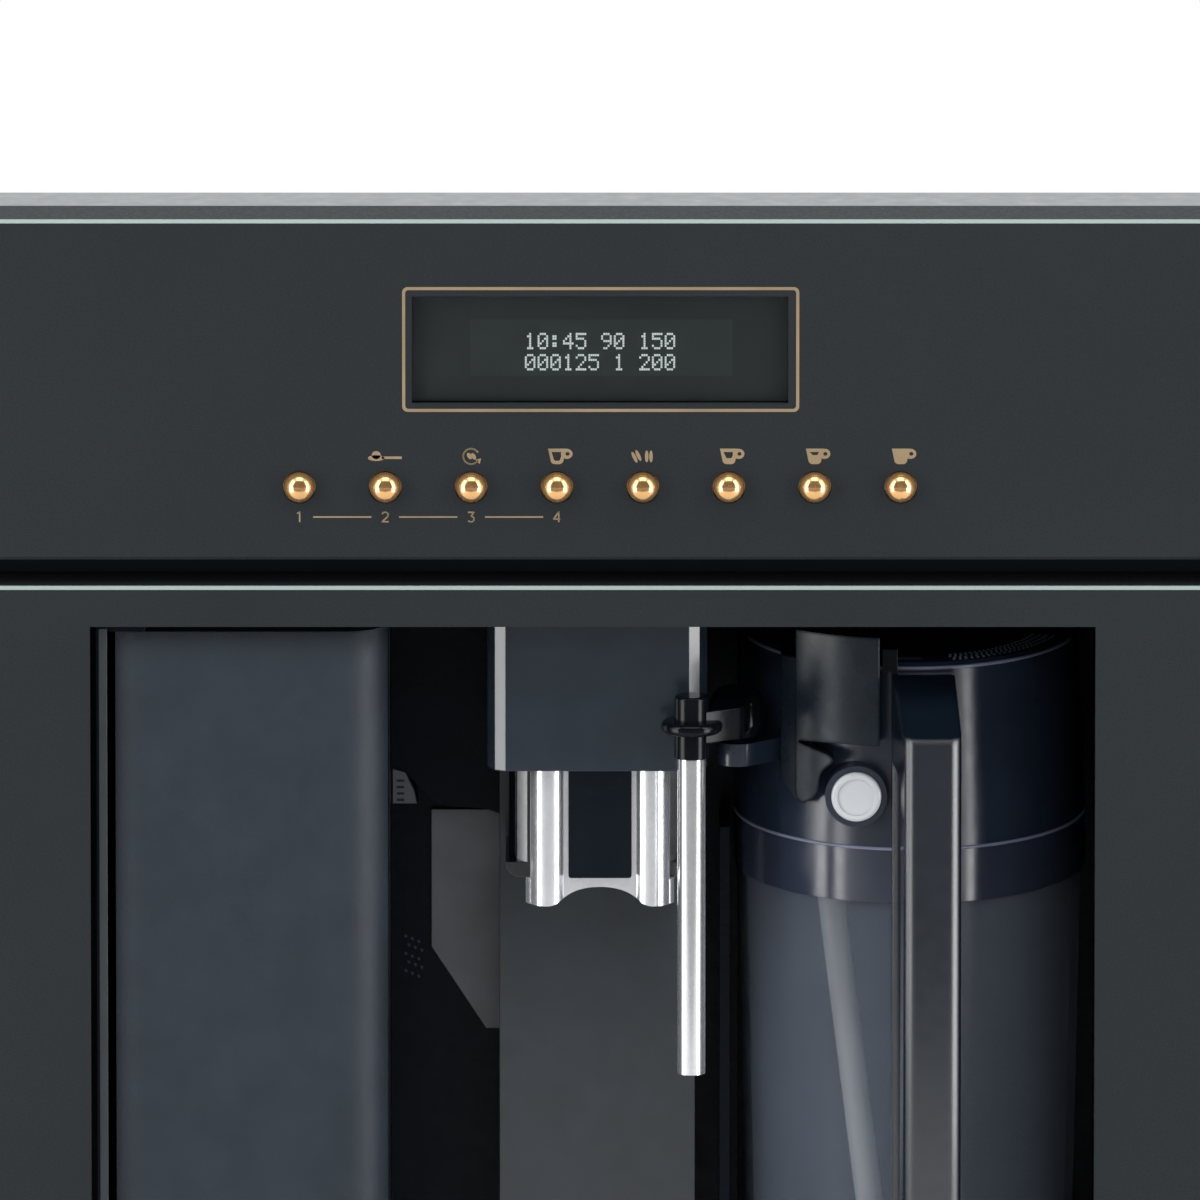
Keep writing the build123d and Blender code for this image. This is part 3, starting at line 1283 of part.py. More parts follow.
# ================================================================ bean hopper and grinder
grinder_place = (-10.0, -38.0)
grinder_top = liner_top - 0.5
hopper_floor = liner_top + 6.5
hopper_shoulder = casing_top - 16
hopper_rim_z = (casing_top, casing_top + 1.5)
throat_side = 36.0
hopper_middle = (sum(hopper_x) / 2, sum(hopper_y) / 2)
hopper_size = (hopper_x[1] - hopper_x[0], hopper_y[1] - hopper_y[0])
rim_overlap = 5.0
hinge_ear_x = 44.0
lid_axis_y = hopper_y[1] + 6.5
lid_axis_z = hopper_rim_z[1] + 2.3


def hopper_level(height, middle, size, wall):
    """A rectangle across the hopper at that height, as a sketch, less the wall all round."""
    with BuildSketch(Plane.XY.offset(height)) as level:
        with Locations(middle):
            Rectangle(size[0] - 2 * wall, size[1] - 2 * wall)
    return level.sketch


def hopper_funnel(wall, mode=Mode.ADD):
    """The hopper's outside, or with a wall thickness its inside: a funnel below straight sides."""
    throat = hopper_level(hopper_floor, grinder_place, (throat_side, throat_side), wall)
    shoulder = hopper_level(hopper_shoulder, hopper_middle, hopper_size, wall)
    loft([throat, shoulder], ruled=True, mode=mode)
    extrude(shoulder, amount=hopper_rim_z[1] - hopper_shoulder, mode=mode)


with BuildPart() as bean_hopper:
    hopper_funnel(0)
    slab(
        (hopper_x[0] - rim_overlap, hopper_x[1] + rim_overlap),
        (hopper_y[0] - rim_overlap, hopper_y[1] + 2 * rim_overlap),
        hopper_rim_z,
    )
    throat = hopper_level(grinder_top, grinder_place, (throat_side, throat_side), 0)
    extrude(throat, amount=hopper_floor - grinder_top)
    hopper_funnel(hopper_wall, mode=Mode.SUBTRACT)
    throat_bore = hopper_level(grinder_top, grinder_place, (throat_side, throat_side), hopper_wall)
    extrude(throat_bore, amount=hopper_floor - grinder_top, mode=Mode.SUBTRACT)
    for side in (-1, 1):
        ear = sorted((side * hinge_ear_x - 5, side * (hinge_ear_x + 10) - 5))
        slab(ear, (lid_axis_y - 2, lid_axis_y + 2), (hopper_rim_z[1], lid_axis_z + 2))
    crosswise(lid_axis_y, lid_axis_z, 1 + sliding_fit, -hinge_ear_x - 12, hinge_ear_x + 2, mode=Mode.SUBTRACT)
save(bean_hopper, "bean_hopper")

lid_z = (hopper_rim_z[1] + press_gap, hopper_rim_z[1] + press_gap + 2.4)
with BuildPart() as hopper_lid:
    slab(
        (hopper_x[0] - rim_overlap, hopper_x[1] + rim_overlap),
        (hopper_y[0] - rim_overlap, lid_axis_y - 3),
        lid_z,
    )
    slab((-hinge_ear_x - 4.4, hinge_ear_x - 5.6), (lid_axis_y - 3, lid_axis_y), lid_z)
    crosswise(lid_axis_y, lid_axis_z, 1.9, -hinge_ear_x - 4.4, hinge_ear_x - 5.6)
    crosswise(lid_axis_y, lid_axis_z, 1, -hinge_ear_x - 11, hinge_ear_x + 1)
    lip = (hopper_y[0] - rim_overlap, hopper_y[0] - rim_overlap + 5)
    slab((-25, 15), lip, (lid_z[0], lid_z[1] + 1.5))
save(hopper_lid, "hopper_lid")

knob_radius = 14.0
knob_z = (casing_top + 0.4, casing_top + 9.4)
with BuildPart() as grind_knob:
    upright(knob_x, knob_y, knob_radius, *knob_z)
    fillet(grind_knob.faces().sort_by(Axis.Z)[-1].edges(), 1.5)
    with Locations((knob_x, knob_y, sum(knob_z) / 2)):
        with PolarLocations(knob_radius + 0.6, 12):
            Cylinder(1.6, 12, mode=Mode.SUBTRACT)
    upright(knob_x, knob_y, knob_shaft, casing_top - 16, knob_z[0] + 1)
    upright(knob_x, knob_y, knob_shaft + 3, casing_top - casing_sheet - 3, casing_top - casing_sheet - press_gap)
save(grind_knob, "grind_knob")

deck_z = (tray_bay_height + 32, tray_bay_height + 33.5)
burr_shaft = 5.0
burr_z = grinder_top - 42
burr_radius = 30.0
grinder_radius = 40.0
burr_chamber = burr_radius + 4
with BuildPart() as grinder_body:
    upright(*grinder_place, grinder_radius - 4, deck_z[1], deck_z[1] + 8)
    upright(*grinder_place, grinder_radius - 7, deck_z[1] + 8, burr_z - 26)
    upright(*grinder_place, grinder_radius, burr_z - 26, grinder_top)
    slab((partition[0] - 3.8, grinder_place[0] - 35), chute_y, chute_z)
    upright(*grinder_place, burr_chamber, burr_z, grinder_top - 13, mode=Mode.SUBTRACT)
    upright(*grinder_place, throat_side / 2 - 3, grinder_top - 14, grinder_top, mode=Mode.SUBTRACT)
    upright(*grinder_place, burr_shaft + sliding_fit, burr_z - 16, burr_z, mode=Mode.SUBTRACT)
    slab(
        (partition[0] - 4, grinder_place[0] - 25),
        (chute_y[0] + 2, chute_y[1] - 2),
        (burr_z + 2, chute_z[1] - 2),
        mode=Mode.SUBTRACT,
    )
save(grinder_body, "grinder_body")

with BuildPart() as grinder_burr:
    with BuildSketch(Plane.XZ.offset(-grinder_place[1])):
        with BuildLine():
            Polyline(
                (grinder_place[0], burr_z - 14),
                (grinder_place[0] + burr_shaft, burr_z - 14),
                (grinder_place[0] + burr_shaft, burr_z + press_gap),
                (grinder_place[0] + burr_radius, burr_z + press_gap),
                (grinder_place[0] + burr_radius, burr_z + 8),
                (grinder_place[0] + 13, burr_z + 24),
                (grinder_place[0], burr_z + 24),
                close=True,
            )
        make_face()
    revolve(axis=Axis((grinder_place[0], grinder_place[1], 0), (0, 0, 1)))
save(grinder_burr, "grinder_burr")

# ================================================================ works on their deck
deck_half = 140.0
deck_y = (bay_back_wall[1] + 3.5, casing_back - 4)
with BuildPart() as works_deck:
    slab((-deck_half, deck_half), deck_y, deck_z)
    slab((grinder_place[0] - 42, grinder_place[0] + 42), (cup_back + 8, deck_y[0]), deck_z)
    for x in (-deck_half, deck_half - 2):
        for y in (deck_y[0], deck_y[1] - 36):
            slab((x, x + 2), (y, y + 20), (floor_top, deck_z[0]))
save(works_deck, "works_deck")

heater_x = (-30.0, 60.0)
heater_y = (82.0, 118.0)
heater_z = (deck_z[1] + 12, casing_top - 143)
heater_half = 30.0
port_radius = 5.0
with BuildPart() as thermoblocks:
    for x in heater_x:
        slab((x - heater_half, x + heater_half), heater_y, heater_z)
        slab((x - heater_half, x + heater_half), (heater_y[0] + 6, heater_y[1] - 6), (deck_z[1], heater_z[0]))
        with Locations((x, heater_y[0], sum(heater_z) / 2), (x, heater_y[1], sum(heater_z) / 2)):
            with GridLocations(10, 1, 5, 1):
                Box(4, 6, heater_z[1] - heater_z[0] - 50, mode=Mode.SUBTRACT)
        lying(x, heater_z[1] - 15, port_radius, heater_y[0] - 6, heater_y[0])
    upright(heater_x[0], sum(heater_y) / 2, port_radius, heater_z[1], heater_z[1] + 6)
save(thermoblocks, "thermoblocks")

pump_place = (-170.0, 34.0)
pump_y = (80.0, 150.0)
pump_port_y = 100.0
with BuildPart() as water_pump:
    lying(*pump_place, 20, pump_y[0], pump_y[1] - 20)
    lying(*pump_place, 12, pump_y[1] - 20, pump_y[1])
    slab((pump_place[0] - 12, pump_place[0] + 12), (pump_y[0] + 5, pump_y[1] - 25), (floor_top, pump_place[1] - 15))
    upright(pump_place[0], pump_port_y, 4, pump_place[1] + 18, pump_place[1] + 26)
    crosswise(pump_port_y + 15, pump_place[1], 4, pump_place[0] + 18, pump_place[0] + 26)
save(water_pump, "water_pump")

board_x = -casing_inside + 8
board_size = (120.0, 160.0)
board_middle = (0.0, (casing_bottom + casing_top) / 2 + 2)
board_y = (board_middle[0] - board_size[0] / 2, board_middle[0] + board_size[0] / 2)
board_limits_z = (board_middle[1] - board_size[1] / 2, board_middle[1] + board_size[1] / 2)
stud_inset = 10.0
with BuildPart() as power_board:
    slab((board_x, board_x + board_thickness), board_y, board_limits_z)
    for y in (board_y[0] + stud_inset, board_y[1] - stud_inset):
        for z in (board_limits_z[0] + stud_inset, board_limits_z[1] - stud_inset):
            crosswise(y, z, 3, -casing_inside, board_x)
    # transformer, relay block and capacitors
    part_z = board_limits_z[0] + 20
    slab((board_x + board_thickness, board_x + 32), (board_y[0] + 20, board_y[0] + 65), (part_z, part_z + 50))
    slab((board_x + board_thickness, board_x + 24), (board_y[1] - 40, board_y[1] - 10), (part_z + 10, part_z + 60))
    with Locations(Location((board_x + 12, board_middle[0], board_middle[1] + board_size[1] / 4), (0, 90, 0))):
        with GridLocations(30, 26, 2, 3):
            Cylinder(9, 24 - 2 * board_thickness)
save(power_board, "power_board")

# ================================================================ brewing unit behind the door
pillar_radius = 4.5
pillar_y = -40.0
pillar_offset = 26.0
spindle_radius = 4.0
spindle_y = -28.0
frame_x = (brew_x - 34, brew_x + 33)
frame_base = (brew_floor, brew_floor + 6)
frame_head = (liner_ceiling - 46, liner_ceiling - 38)
gear_z = (frame_head[1], liner_ceiling)
spindle_top = gear_z[0] + 14
motor_radius = 14.0
piston_radius = 20.0
piston_bottom = frame_head[0] - 28
piston_entry = 12.0
brew_travel = 60.0
carriage_z = (brew_floor + 40, brew_floor + 58)
chamber_top = piston_bottom + piston_entry - brew_travel
with BuildPart() as infuser_frame:
    slab(frame_x, (pillar_y - 8, brew_back - 7), frame_base)
    slab(frame_x, (brew_y - 30, brew_back - 7), frame_head)
    for side in (-1, 1):
        upright(brew_x + side * pillar_offset, pillar_y, pillar_radius, frame_base[1], frame_head[0])
    upright(brew_x, brew_y, piston_radius, piston_bottom, frame_head[0])
    upright(brew_x, spindle_y, spindle_radius + sliding_fit, frame_base[0] + 1, frame_base[1], mode=Mode.SUBTRACT)
    upright(brew_x, spindle_y, spindle_radius + sliding_fit, *frame_head, mode=Mode.SUBTRACT)
    upright(coffee_port_x, coffee_port_y, coffee_hose_radius + 1.5, frame_head[1], frame_head[1] + 4)
    upright(brew_hose_x, brew_y, water_hose_radius + 1.5, frame_head[1], frame_head[1] + 4)
    # gearbox on the head, with its motor lying in front
    slab((brew_x - 20, brew_x + 20), (pillar_y - 22, brew_back - 5), gear_z)
    lying(brew_x, gear_z[0] + 18, motor_radius, pillar_y - 52, pillar_y - 22)
    upright(brew_x, spindle_y, spindle_radius + sliding_fit, gear_z[0], spindle_top + 1, mode=Mode.SUBTRACT)
save(infuser_frame, "infuser_frame")

with BuildPart() as infuser_carriage:
    slab((brew_x - 33, brew_x + 32), (pillar_y - 7, spindle_y + 9), carriage_z)
    slab((brew_x - 12, brew_x + 12), (brew_y, pillar_y), carriage_z)
    upright(brew_x, brew_y, piston_radius + 5, carriage_z[0], chamber_top)
    upright(brew_x, brew_y, piston_radius + press_gap, carriage_z[0] + 6, chamber_top, mode=Mode.SUBTRACT)
    for side in (-1, 1):
        upright(
            brew_x + side * pillar_offset, pillar_y, pillar_radius + sliding_fit, *carriage_z, mode=Mode.SUBTRACT
        )
    upright(brew_x, spindle_y, spindle_radius + sliding_fit, *carriage_z, mode=Mode.SUBTRACT)
save(infuser_carriage, "infuser_carriage")

with BuildPart() as infuser_spindle:
    upright(brew_x, spindle_y, spindle_radius, frame_base[0] + 1 + press_gap, spindle_top)
    upright(brew_x, spindle_y, spindle_radius + 3, frame_base[1] + press_gap, frame_base[1] + 3)
save(infuser_spindle, "infuser_spindle")

# ================================================================ hoses, electrics and screws
hose_run_z = (liner_top + hopper_floor) / 2
bend_radius = 7.0
coffee_bend = 3.0


def hose(radius, bend, *points):
    """A hose through those points with rounded bends, in the part that is being built."""
    with BuildLine() as run:
        FilletPolyline(*points, radius=bend)
    with BuildSketch(Plane(origin=run.line @ 0, z_dir=run.line % 0)) as section:
        Circle(radius)
    sweep(section.sketch, path=run.line)


heater_port_z = heater_z[1] - 15
cold_run_z = heater_z[1] + 55
with BuildPart() as hoses:
    hose(
        water_hose_radius,
        bend_radius,
        (socket_x[0], spigot_y, spigot_z),
        (120, spigot_y, spigot_z),
        (120, pump_port_y + 15, spigot_z),
        (120, pump_port_y + 15, pump_place[1]),
        (pump_place[0] + 26, pump_port_y + 15, pump_place[1]),
    )
    hose(
        water_hose_radius,
        bend_radius,
        (pump_place[0], pump_port_y, pump_place[1] + 26),
        (pump_place[0], pump_port_y, cold_run_z),
        (heater_x[0], pump_port_y, cold_run_z),
        (heater_x[0], pump_port_y, heater_z[1] + 6),
    )
    hose(
        water_hose_radius,
        bend_radius,
        (heater_x[0], heater_y[0] - 6, heater_port_z),
        (heater_x[0], 30, heater_port_z),
        (heater_x[0], 30, brew_hose_z),
        (brew_hose_x, 30, brew_hose_z),
        (brew_hose_x, brew_y, brew_hose_z),
        (brew_hose_x, brew_y, frame_head[1] + 4),
    )
    hose(
        water_hose_radius,
        bend_radius,
        (heater_x[1], heater_y[0] - 6, heater_port_z),
        (heater_x[1], 20, heater_port_z),
        (heater_x[1], 20, nozzle_z),
        (jug_x, 20, nozzle_z),
        (jug_x, jug_bay_back + 6, nozzle_z),
    )
    hose(
        coffee_hose_radius,
        coffee_bend,
        (coffee_port_x, coffee_port_y, frame_head[1] + 4),
        (coffee_port_x, coffee_port_y, hose_run_z),
        (spout_x, coffee_port_y, hose_run_z),
        (spout_x, spout_inlet_y, hose_run_z),
        (spout_x, spout_inlet_y, liner_ceiling - spout_wall),
    )
save(hoses, "hoses")

switch_pivot_x = casing_half_width - 6
rocker_half = 7.8
with BuildPart() as mains_fittings:
    inlet_x_limits = (inlet_x - inlet_size[0] / 2, inlet_x + inlet_size[0] / 2)
    inlet_z_limits = (inlet_z - inlet_size[1] / 2, inlet_z + inlet_size[1] / 2)
    slab(inlet_x_limits, (casing_back - 26, casing_back), inlet_z_limits)
    slab(
        (inlet_x_limits[0] - 6, inlet_x_limits[1] + 6),
        (casing_back, casing_back + 2),
        (inlet_z_limits[0] - 3, inlet_z_limits[1] + 3),
    )
    slab(
        (inlet_x_limits[0] + 2.5, inlet_x_limits[1] - 2.5),
        (casing_back - 17, casing_back + 3),
        (inlet_z_limits[0] + 2.5, inlet_z_limits[1] - 2.5),
        mode=Mode.SUBTRACT,
    )
    for x, z in ((-7, -2), (0, 3), (7, -2)):
        slab((inlet_x + x - 1, inlet_x + x + 1), (casing_back - 17, casing_back - 6), (inlet_z + z - 2, inlet_z + z + 2))

    # housing of the mains switch
    body_y = (switch_y - switch_hole[0] / 2, switch_y + switch_hole[0] / 2)
    body_z = (switch_z - switch_hole[1] / 2, switch_z + switch_hole[1] / 2)
    slab((casing_half_width - 16, casing_half_width), body_y, body_z)
    slab((casing_half_width, casing_half_width + 1.2), (body_y[0] - 2, body_y[1] + 2), (body_z[0] - 2, body_z[1] + 2))
    slab(
        (casing_half_width - 14, casing_half_width + 2),
        (body_y[0] + 2, body_y[1] - 2),
        (body_z[0] + 1, body_z[1] - 1),
        mode=Mode.SUBTRACT,
    )
    lying(switch_pivot_x, switch_z, 1.2 + sliding_fit, body_y[0], body_y[1], mode=Mode.SUBTRACT)
save(mains_fittings, "mains_fittings")

with BuildPart() as mains_switch:
    with BuildSketch(front_plane(body_y[0] + 2 + press_gap)):
        with BuildLine():
            Polyline(
                (switch_pivot_x - 3, switch_z - rocker_half + 2),
                (switch_pivot_x + 6.8, switch_z - rocker_half),
                (switch_pivot_x + 6.2, switch_z),
                (switch_pivot_x + 8.0, switch_z + rocker_half),
                (switch_pivot_x - 3, switch_z + rocker_half - 2),
                close=True,
            )
        make_face()
    extrude(amount=-(switch_hole[0] - 4 - 2 * press_gap))
    lying(switch_pivot_x, switch_z, 1.2, body_y[0] + 0.3, body_y[1] - 0.3)
save(mains_switch, "mains_switch")
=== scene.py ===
import bmesh
import bpy
import math
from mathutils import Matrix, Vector


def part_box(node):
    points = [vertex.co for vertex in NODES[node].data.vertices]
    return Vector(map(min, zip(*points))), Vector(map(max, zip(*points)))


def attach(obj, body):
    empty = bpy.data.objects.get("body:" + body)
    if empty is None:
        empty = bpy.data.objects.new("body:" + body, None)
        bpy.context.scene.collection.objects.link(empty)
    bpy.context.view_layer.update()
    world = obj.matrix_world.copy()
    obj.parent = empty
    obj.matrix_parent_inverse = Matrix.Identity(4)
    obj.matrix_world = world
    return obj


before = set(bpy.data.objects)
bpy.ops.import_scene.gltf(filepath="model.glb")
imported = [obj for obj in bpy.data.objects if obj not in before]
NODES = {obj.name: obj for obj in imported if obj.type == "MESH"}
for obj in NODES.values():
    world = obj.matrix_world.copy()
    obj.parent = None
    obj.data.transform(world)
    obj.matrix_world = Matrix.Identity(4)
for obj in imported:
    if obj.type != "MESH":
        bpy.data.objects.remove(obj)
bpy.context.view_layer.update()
MM = 0.001

# Planes and heights that thin pieces lie on, in mm.
FRONT_Y = -190.0  # the front's faces
DISPLAY_Y = -186.62  # the display, behind its glass
FIN_Y = -103.02  # the recess's wall behind the fin
VENT_Y = -90.0  # the recess's wall with the vent holes
PLATE_BACK_Y = FRONT_Y + 21.0 + 1.5  # the back of the plate behind the front: front's depth and its sheet
JUG_MIDDLE_Y = -102.0
ICON_Z = 386.15
LABEL_Z = 368.2
BUTTON_PITCH = 24.9


def box_mm(node):
    """Lowest and highest corner of a CAD node, in mm."""
    return [[v / MM for v in corner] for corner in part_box(node)]


# ---------------------------------------------------------------- materials
def new_node(tree, kind, inputs=None, **settings):
    """A shader node, with its settings made before the values of its inputs."""
    made = tree.nodes.new(kind)
    for key, value in settings.items():
        setattr(made, key, value)
    for key, value in (inputs or {}).items():
        made.inputs[key].default_value = value
    return made


class Shader:
    """A node material round one Principled shader, with helpers that add its detail."""

    def __init__(self, name, **sockets):
        """Sockets are named with _ for each space."""
        self.material = bpy.data.materials.new(name)
        self.material.use_nodes = True
        self.tree = self.material.node_tree
        self.bsdf = self.tree.nodes["Principled BSDF"]
        for key, value in sockets.items():
            self.bsdf.inputs[key.replace("_", " ")].default_value = value
        self.coordinates = self.node("ShaderNodeTexCoord")

    def node(self, kind, inputs=None, **settings):
        return new_node(self.tree, kind, inputs, **settings)

    def link(self, source, target):
        self.tree.links.new(source, target)

    def noise(self, scale, detail=3.0, roughness=0.5, stretch=(1, 1, 1)):
        """Noise over the piece's own place; scale is in features per metre."""
        mapping = self.node("ShaderNodeMapping", {"Scale": stretch})
        self.link(self.coordinates.outputs["Object"], mapping.inputs["Vector"])
        texture = self.node("ShaderNodeTexNoise", {"Scale": scale, "Detail": detail, "Roughness": roughness})
        self.link(mapping.outputs["Vector"], texture.inputs["Vector"])
        return texture.outputs["Fac"]

    def spread(self, value, low, high, start=0.3, end=0.7):
        """Maps a value from start..end to low..high."""
        made = self.node("ShaderNodeMapRange",
                         {"From Min": start, "From Max": end, "To Min": low, "To Max": high})
        self.link(value, made.inputs["Value"])
        return made.outputs["Result"]

    def blend(self, factor, first, second):
        """A colour between two, each a linear colour or another node's output."""
        made = self.node("ShaderNodeMix", data_type="RGBA")
        self.link(factor, made.inputs["Factor"])
        for value, target in ((first, made.inputs["A"]), (second, made.inputs["B"])):
            if isinstance(value, (tuple, list)):
                target.default_value = (*value, 1.0)
            else:
                self.link(value, target)
        return made.outputs["Result"]

    def colour(self, value):
        self.link(value, self.bsdf.inputs["Base Color"])

    def mottle(self, colour, amount, scale, stretch=(1, 1, 1)):
        """Base colour that varies a little from place to place."""
        dark = [c * (1 - amount) for c in colour]
        light = [c * (1 + amount) for c in colour]
        self.colour(self.blend(self.spread(self.noise(scale, stretch=stretch), 0, 1), dark, light))

    def rough(self, low, high, scale, stretch=(1, 1, 1)):
        """Roughness that varies between two values."""
        value = self.spread(self.noise(scale, 4.0, stretch=stretch), low, high)
        self.link(value, self.bsdf.inputs["Roughness"])

    def relief(self, height, depth, edge=0.0):
        """Fine bumps of that depth in mm, on edges that are rounded by edge mm."""
        bump = self.node("ShaderNodeBump", {"Strength": 1.0, "Distance": depth * MM})
        self.link(height, bump.inputs["Height"])
        if edge:
            rounding = self.node("ShaderNodeBevel", {"Radius": edge * MM}, samples=4)
            self.link(rounding.outputs["Normal"], bump.inputs["Normal"])
        self.link(bump.outputs["Normal"], self.bsdf.inputs["Normal"])


def srgb(*levels):
    """Linear colour from three 0-255 levels."""
    return [((v / 255 + 0.055) / 1.055) ** 2.4 if v > 10 else v / 255 / 12.92 for v in levels]


def coat():
    """Textured powder coat; the chamfer along its upper edges has a light colour, a painted highlight."""
    s = Shader("anthracite_coat", Specular_IOR_Level=0.1)
    tone = srgb(37, 42, 45)
    grain = s.spread(s.noise(2400, 2.0, 0.6), 0, 1, 0.35, 0.65)
    face = s.blend(grain, [c * 0.84 for c in tone], [c * 1.16 for c in tone])
    cloud = s.blend(s.spread(s.noise(14), 0, 1), (0.94, 0.94, 0.94), (1.06, 1.06, 1.06))
    tinted = s.node("ShaderNodeMix", {"Factor": 1.0}, data_type="RGBA", blend_type="MULTIPLY")
    s.link(face, tinted.inputs["A"])
    s.link(cloud, tinted.inputs["B"])
    # A bevel between the front and the top is the only face whose normal's Y times Z is near -0.5.
    normal = s.node("ShaderNodeSeparateXYZ")
    s.link(s.node("ShaderNodeNewGeometry").outputs["True Normal"], normal.inputs["Vector"])
    slope = s.node("ShaderNodeMath", operation="MULTIPLY")
    s.link(normal.outputs["Y"], slope.inputs[0])
    s.link(normal.outputs["Z"], slope.inputs[1])
    # The chamfer facing front and up gets a light colour: a painted highlight of the light from above.
    painted_edge_highlight = s.spread(slope.outputs["Value"], 1, 0, -0.45, -0.3)
    s.colour(s.blend(painted_edge_highlight, tinted.outputs["Result"], srgb(150, 163, 161)))
    s.rough(0.5, 0.62, 900)
    s.relief(s.noise(2600, 3.0, 0.65), 0.05, 0.25)
    return s.material


def plastic(name, tone, rough, grain, depth, spec=0.5, edge=0.4, mottled=0.12, **sockets):
    """Moulded plastic or paint: grain is the relief's features per metre, depth its depth in mm."""
    s = Shader(name, Specular_IOR_Level=spec, **sockets)
    s.mottle(tone, mottled, 60)
    s.rough(*rough, 220)
    s.relief(s.noise(grain, 3.0, 0.6), depth, edge)
    return s.material


def metal(name, tone, rough, grain=500, depth=0.004, stretch=(1, 1, 1), edge=0.25, metallic=1.0, **sockets):
    """Bare or plated metal; stretch draws its grain out along an axis."""
    s = Shader(name, Metallic=metallic, **sockets)
    s.mottle(tone, 0.05, 120, stretch)
    s.rough(*rough, grain, stretch)
    s.relief(s.noise(grain, 3.0, 0.5, stretch), depth, edge)
    return s.material


def clear(name, tone, rough, ior=1.45, wave=0.01):
    """Glass or clear plastic whose faces are not quite flat."""
    s = Shader(name, Transmission_Weight=1.0, IOR=ior)
    s.mottle(tone, 0.04, 30)
    s.rough(*rough, 90)
    s.relief(s.noise(60, 2.0), wave)
    return s.material


COAT = coat()
DOOR = plastic("door_plastic", srgb(41, 48, 56), (0.36, 0.48), 2200, 0.06, spec=0.22, edge=9.0, mottled=0.1)
LINER = plastic("liner_plastic", srgb(9, 14, 24), (0.22, 0.32), 1300, 0.012, spec=0.08)
COLUMN = plastic("column_plastic", srgb(26, 38, 50), (0.3, 0.4), 1300, 0.012, spec=0.04)
HOUSING = plastic("housing_plastic", srgb(34, 43, 52), (0.12, 0.18), 1600, 0.004, spec=0.6)
CARRIER = plastic("carrier_plastic", srgb(14, 19, 26), (0.12, 0.18), 900, 0.003, spec=1.0)
LID = plastic("lid_plastic", srgb(34, 43, 58), (0.2, 0.26), 900, 0.002, spec=0.6)
FROTH = plastic("froth_plastic", srgb(24, 33, 41), (0.24, 0.32), 900, 0.003, spec=0.2, edge=1.2)
ARM = plastic("arm_plastic", srgb(10, 13, 18), (0.1, 0.16), 900, 0.003, spec=0.14)
# A light colour that paints the highlights of rounded rims; the lid's stipple wears it too.
RIM = plastic("painted_rim_highlight", srgb(122, 128, 152), (0.16, 0.24), 900, 0.002, spec=0.6, edge=0.0)
TRIM = plastic("trim_plastic", srgb(58, 62, 66), (0.3, 0.4), 1200, 0.01, spec=0.3)
INLAY = plastic("inlay_plastic", srgb(11, 20, 28), (0.2, 0.28), 1400, 0.01, spec=0.15)
SATIN = plastic("satin_black", srgb(20, 23, 27), (0.4, 0.5), 1400, 0.02, spec=0.4)
HANDLE = plastic("handle_plastic", srgb(13, 21, 31), (0.12, 0.16), 900, 0.003, spec=1.0, edge=2.6)
COLLAR = plastic("collar_plastic", srgb(44, 51, 66), (0.14, 0.2), 900, 0.002, spec=0.6)
LAMP = plastic("lamp_lens", srgb(106, 108, 114), (0.3, 0.4), 700, 0.01, spec=0.3)
BLACK_COAT = plastic("black_coat", srgb(10, 25, 33), (0.5, 0.6), 1500, 0.02, spec=0.2)
SILVER = plastic("silver_button", srgb(205, 208, 212), (0.3, 0.38), 800, 0.006, spec=0.5, mottled=0.03)
BRASS = metal("polished_brass", srgb(236, 184, 124), (0.13, 0.19), edge=0.0, metallic=0.85)
CHROME = metal("chrome", srgb(232, 234, 238), (0.09, 0.13), grain=900, depth=0.0003, edge=0.0, metallic=0.85)
PLATED = metal("plated_plastic", srgb(238, 240, 244), (0.2, 0.25), grain=900, depth=0.0004, edge=0.0,
               metallic=0.8, Sheen_Weight=1.0, Sheen_Roughness=0.35)
STEEL = metal("satin_steel", srgb(178, 180, 183), (0.26, 0.4), grain=900, stretch=(1, 0.06, 1))
ZINC = metal("galvanised_sheet", srgb(160, 163, 166), (0.34, 0.56), grain=160, depth=0.01)
CAST = metal("cast_aluminium", srgb(172, 174, 178), (0.42, 0.58), grain=700, depth=0.05)
SMOKE = plastic("smoky_plastic", srgb(110, 119, 133), (0.16, 0.22), 300, 0.001, spec=0.16, edge=0.0,
                mottled=0.04, Alpha=0.32)
TUBE = plastic("milky_tube", srgb(243, 246, 250), (0.2, 0.3), 200, 0.004, mottled=0.03)
TANK = clear("tank_plastic", srgb(190, 202, 212), (0.05, 0.12))
GLASS = clear("dark_glass", srgb(205, 212, 212), (0.01, 0.03), ior=1.35, wave=0.0005)
RUBBER = plastic("hose_rubber", srgb(150, 148, 142), (0.45, 0.6), 1200, 0.02, spec=0.4)
BOARD = plastic("circuit_board", srgb(30, 92, 52), (0.35, 0.5), 700, 0.02, spec=0.4)
RED = plastic("red_float", srgb(168, 32, 26), (0.25, 0.35), 900, 0.01)
PRINT = plastic("brass_print", srgb(141, 122, 93), (0.4, 0.5), 1800, 0.004, spec=0.4, edge=0.0)
FIELD = plastic("display_field", srgb(58, 64, 64), (0.3, 0.4), 1400, 0.0003, spec=0.3, edge=0.0, mottled=0.05)
MASK = plastic("display_mask", srgb(48, 54, 55), (0.4, 0.5), 1400, 0.0003, spec=0.3, edge=0.0, mottled=0.04)
LIT = plastic("display_dots", srgb(235, 240, 238), (0.4, 0.5), 1400, 0.003, spec=0.3, edge=0.0,
              mottled=0.02, Emission_Color=(0.85, 0.9, 0.88, 1), Emission_Strength=0.25)
FIN = plastic("fin_plastic", srgb(92, 98, 104), (0.35, 0.45), 1300, 0.01, spec=0.4)
HOLE = plastic("vent_hole", srgb(52, 66, 84), (0.4, 0.5), 1200, 0.01, spec=0.3)
SCREW = metal("screw_steel", srgb(150, 152, 154), (0.24, 0.36), grain=900)

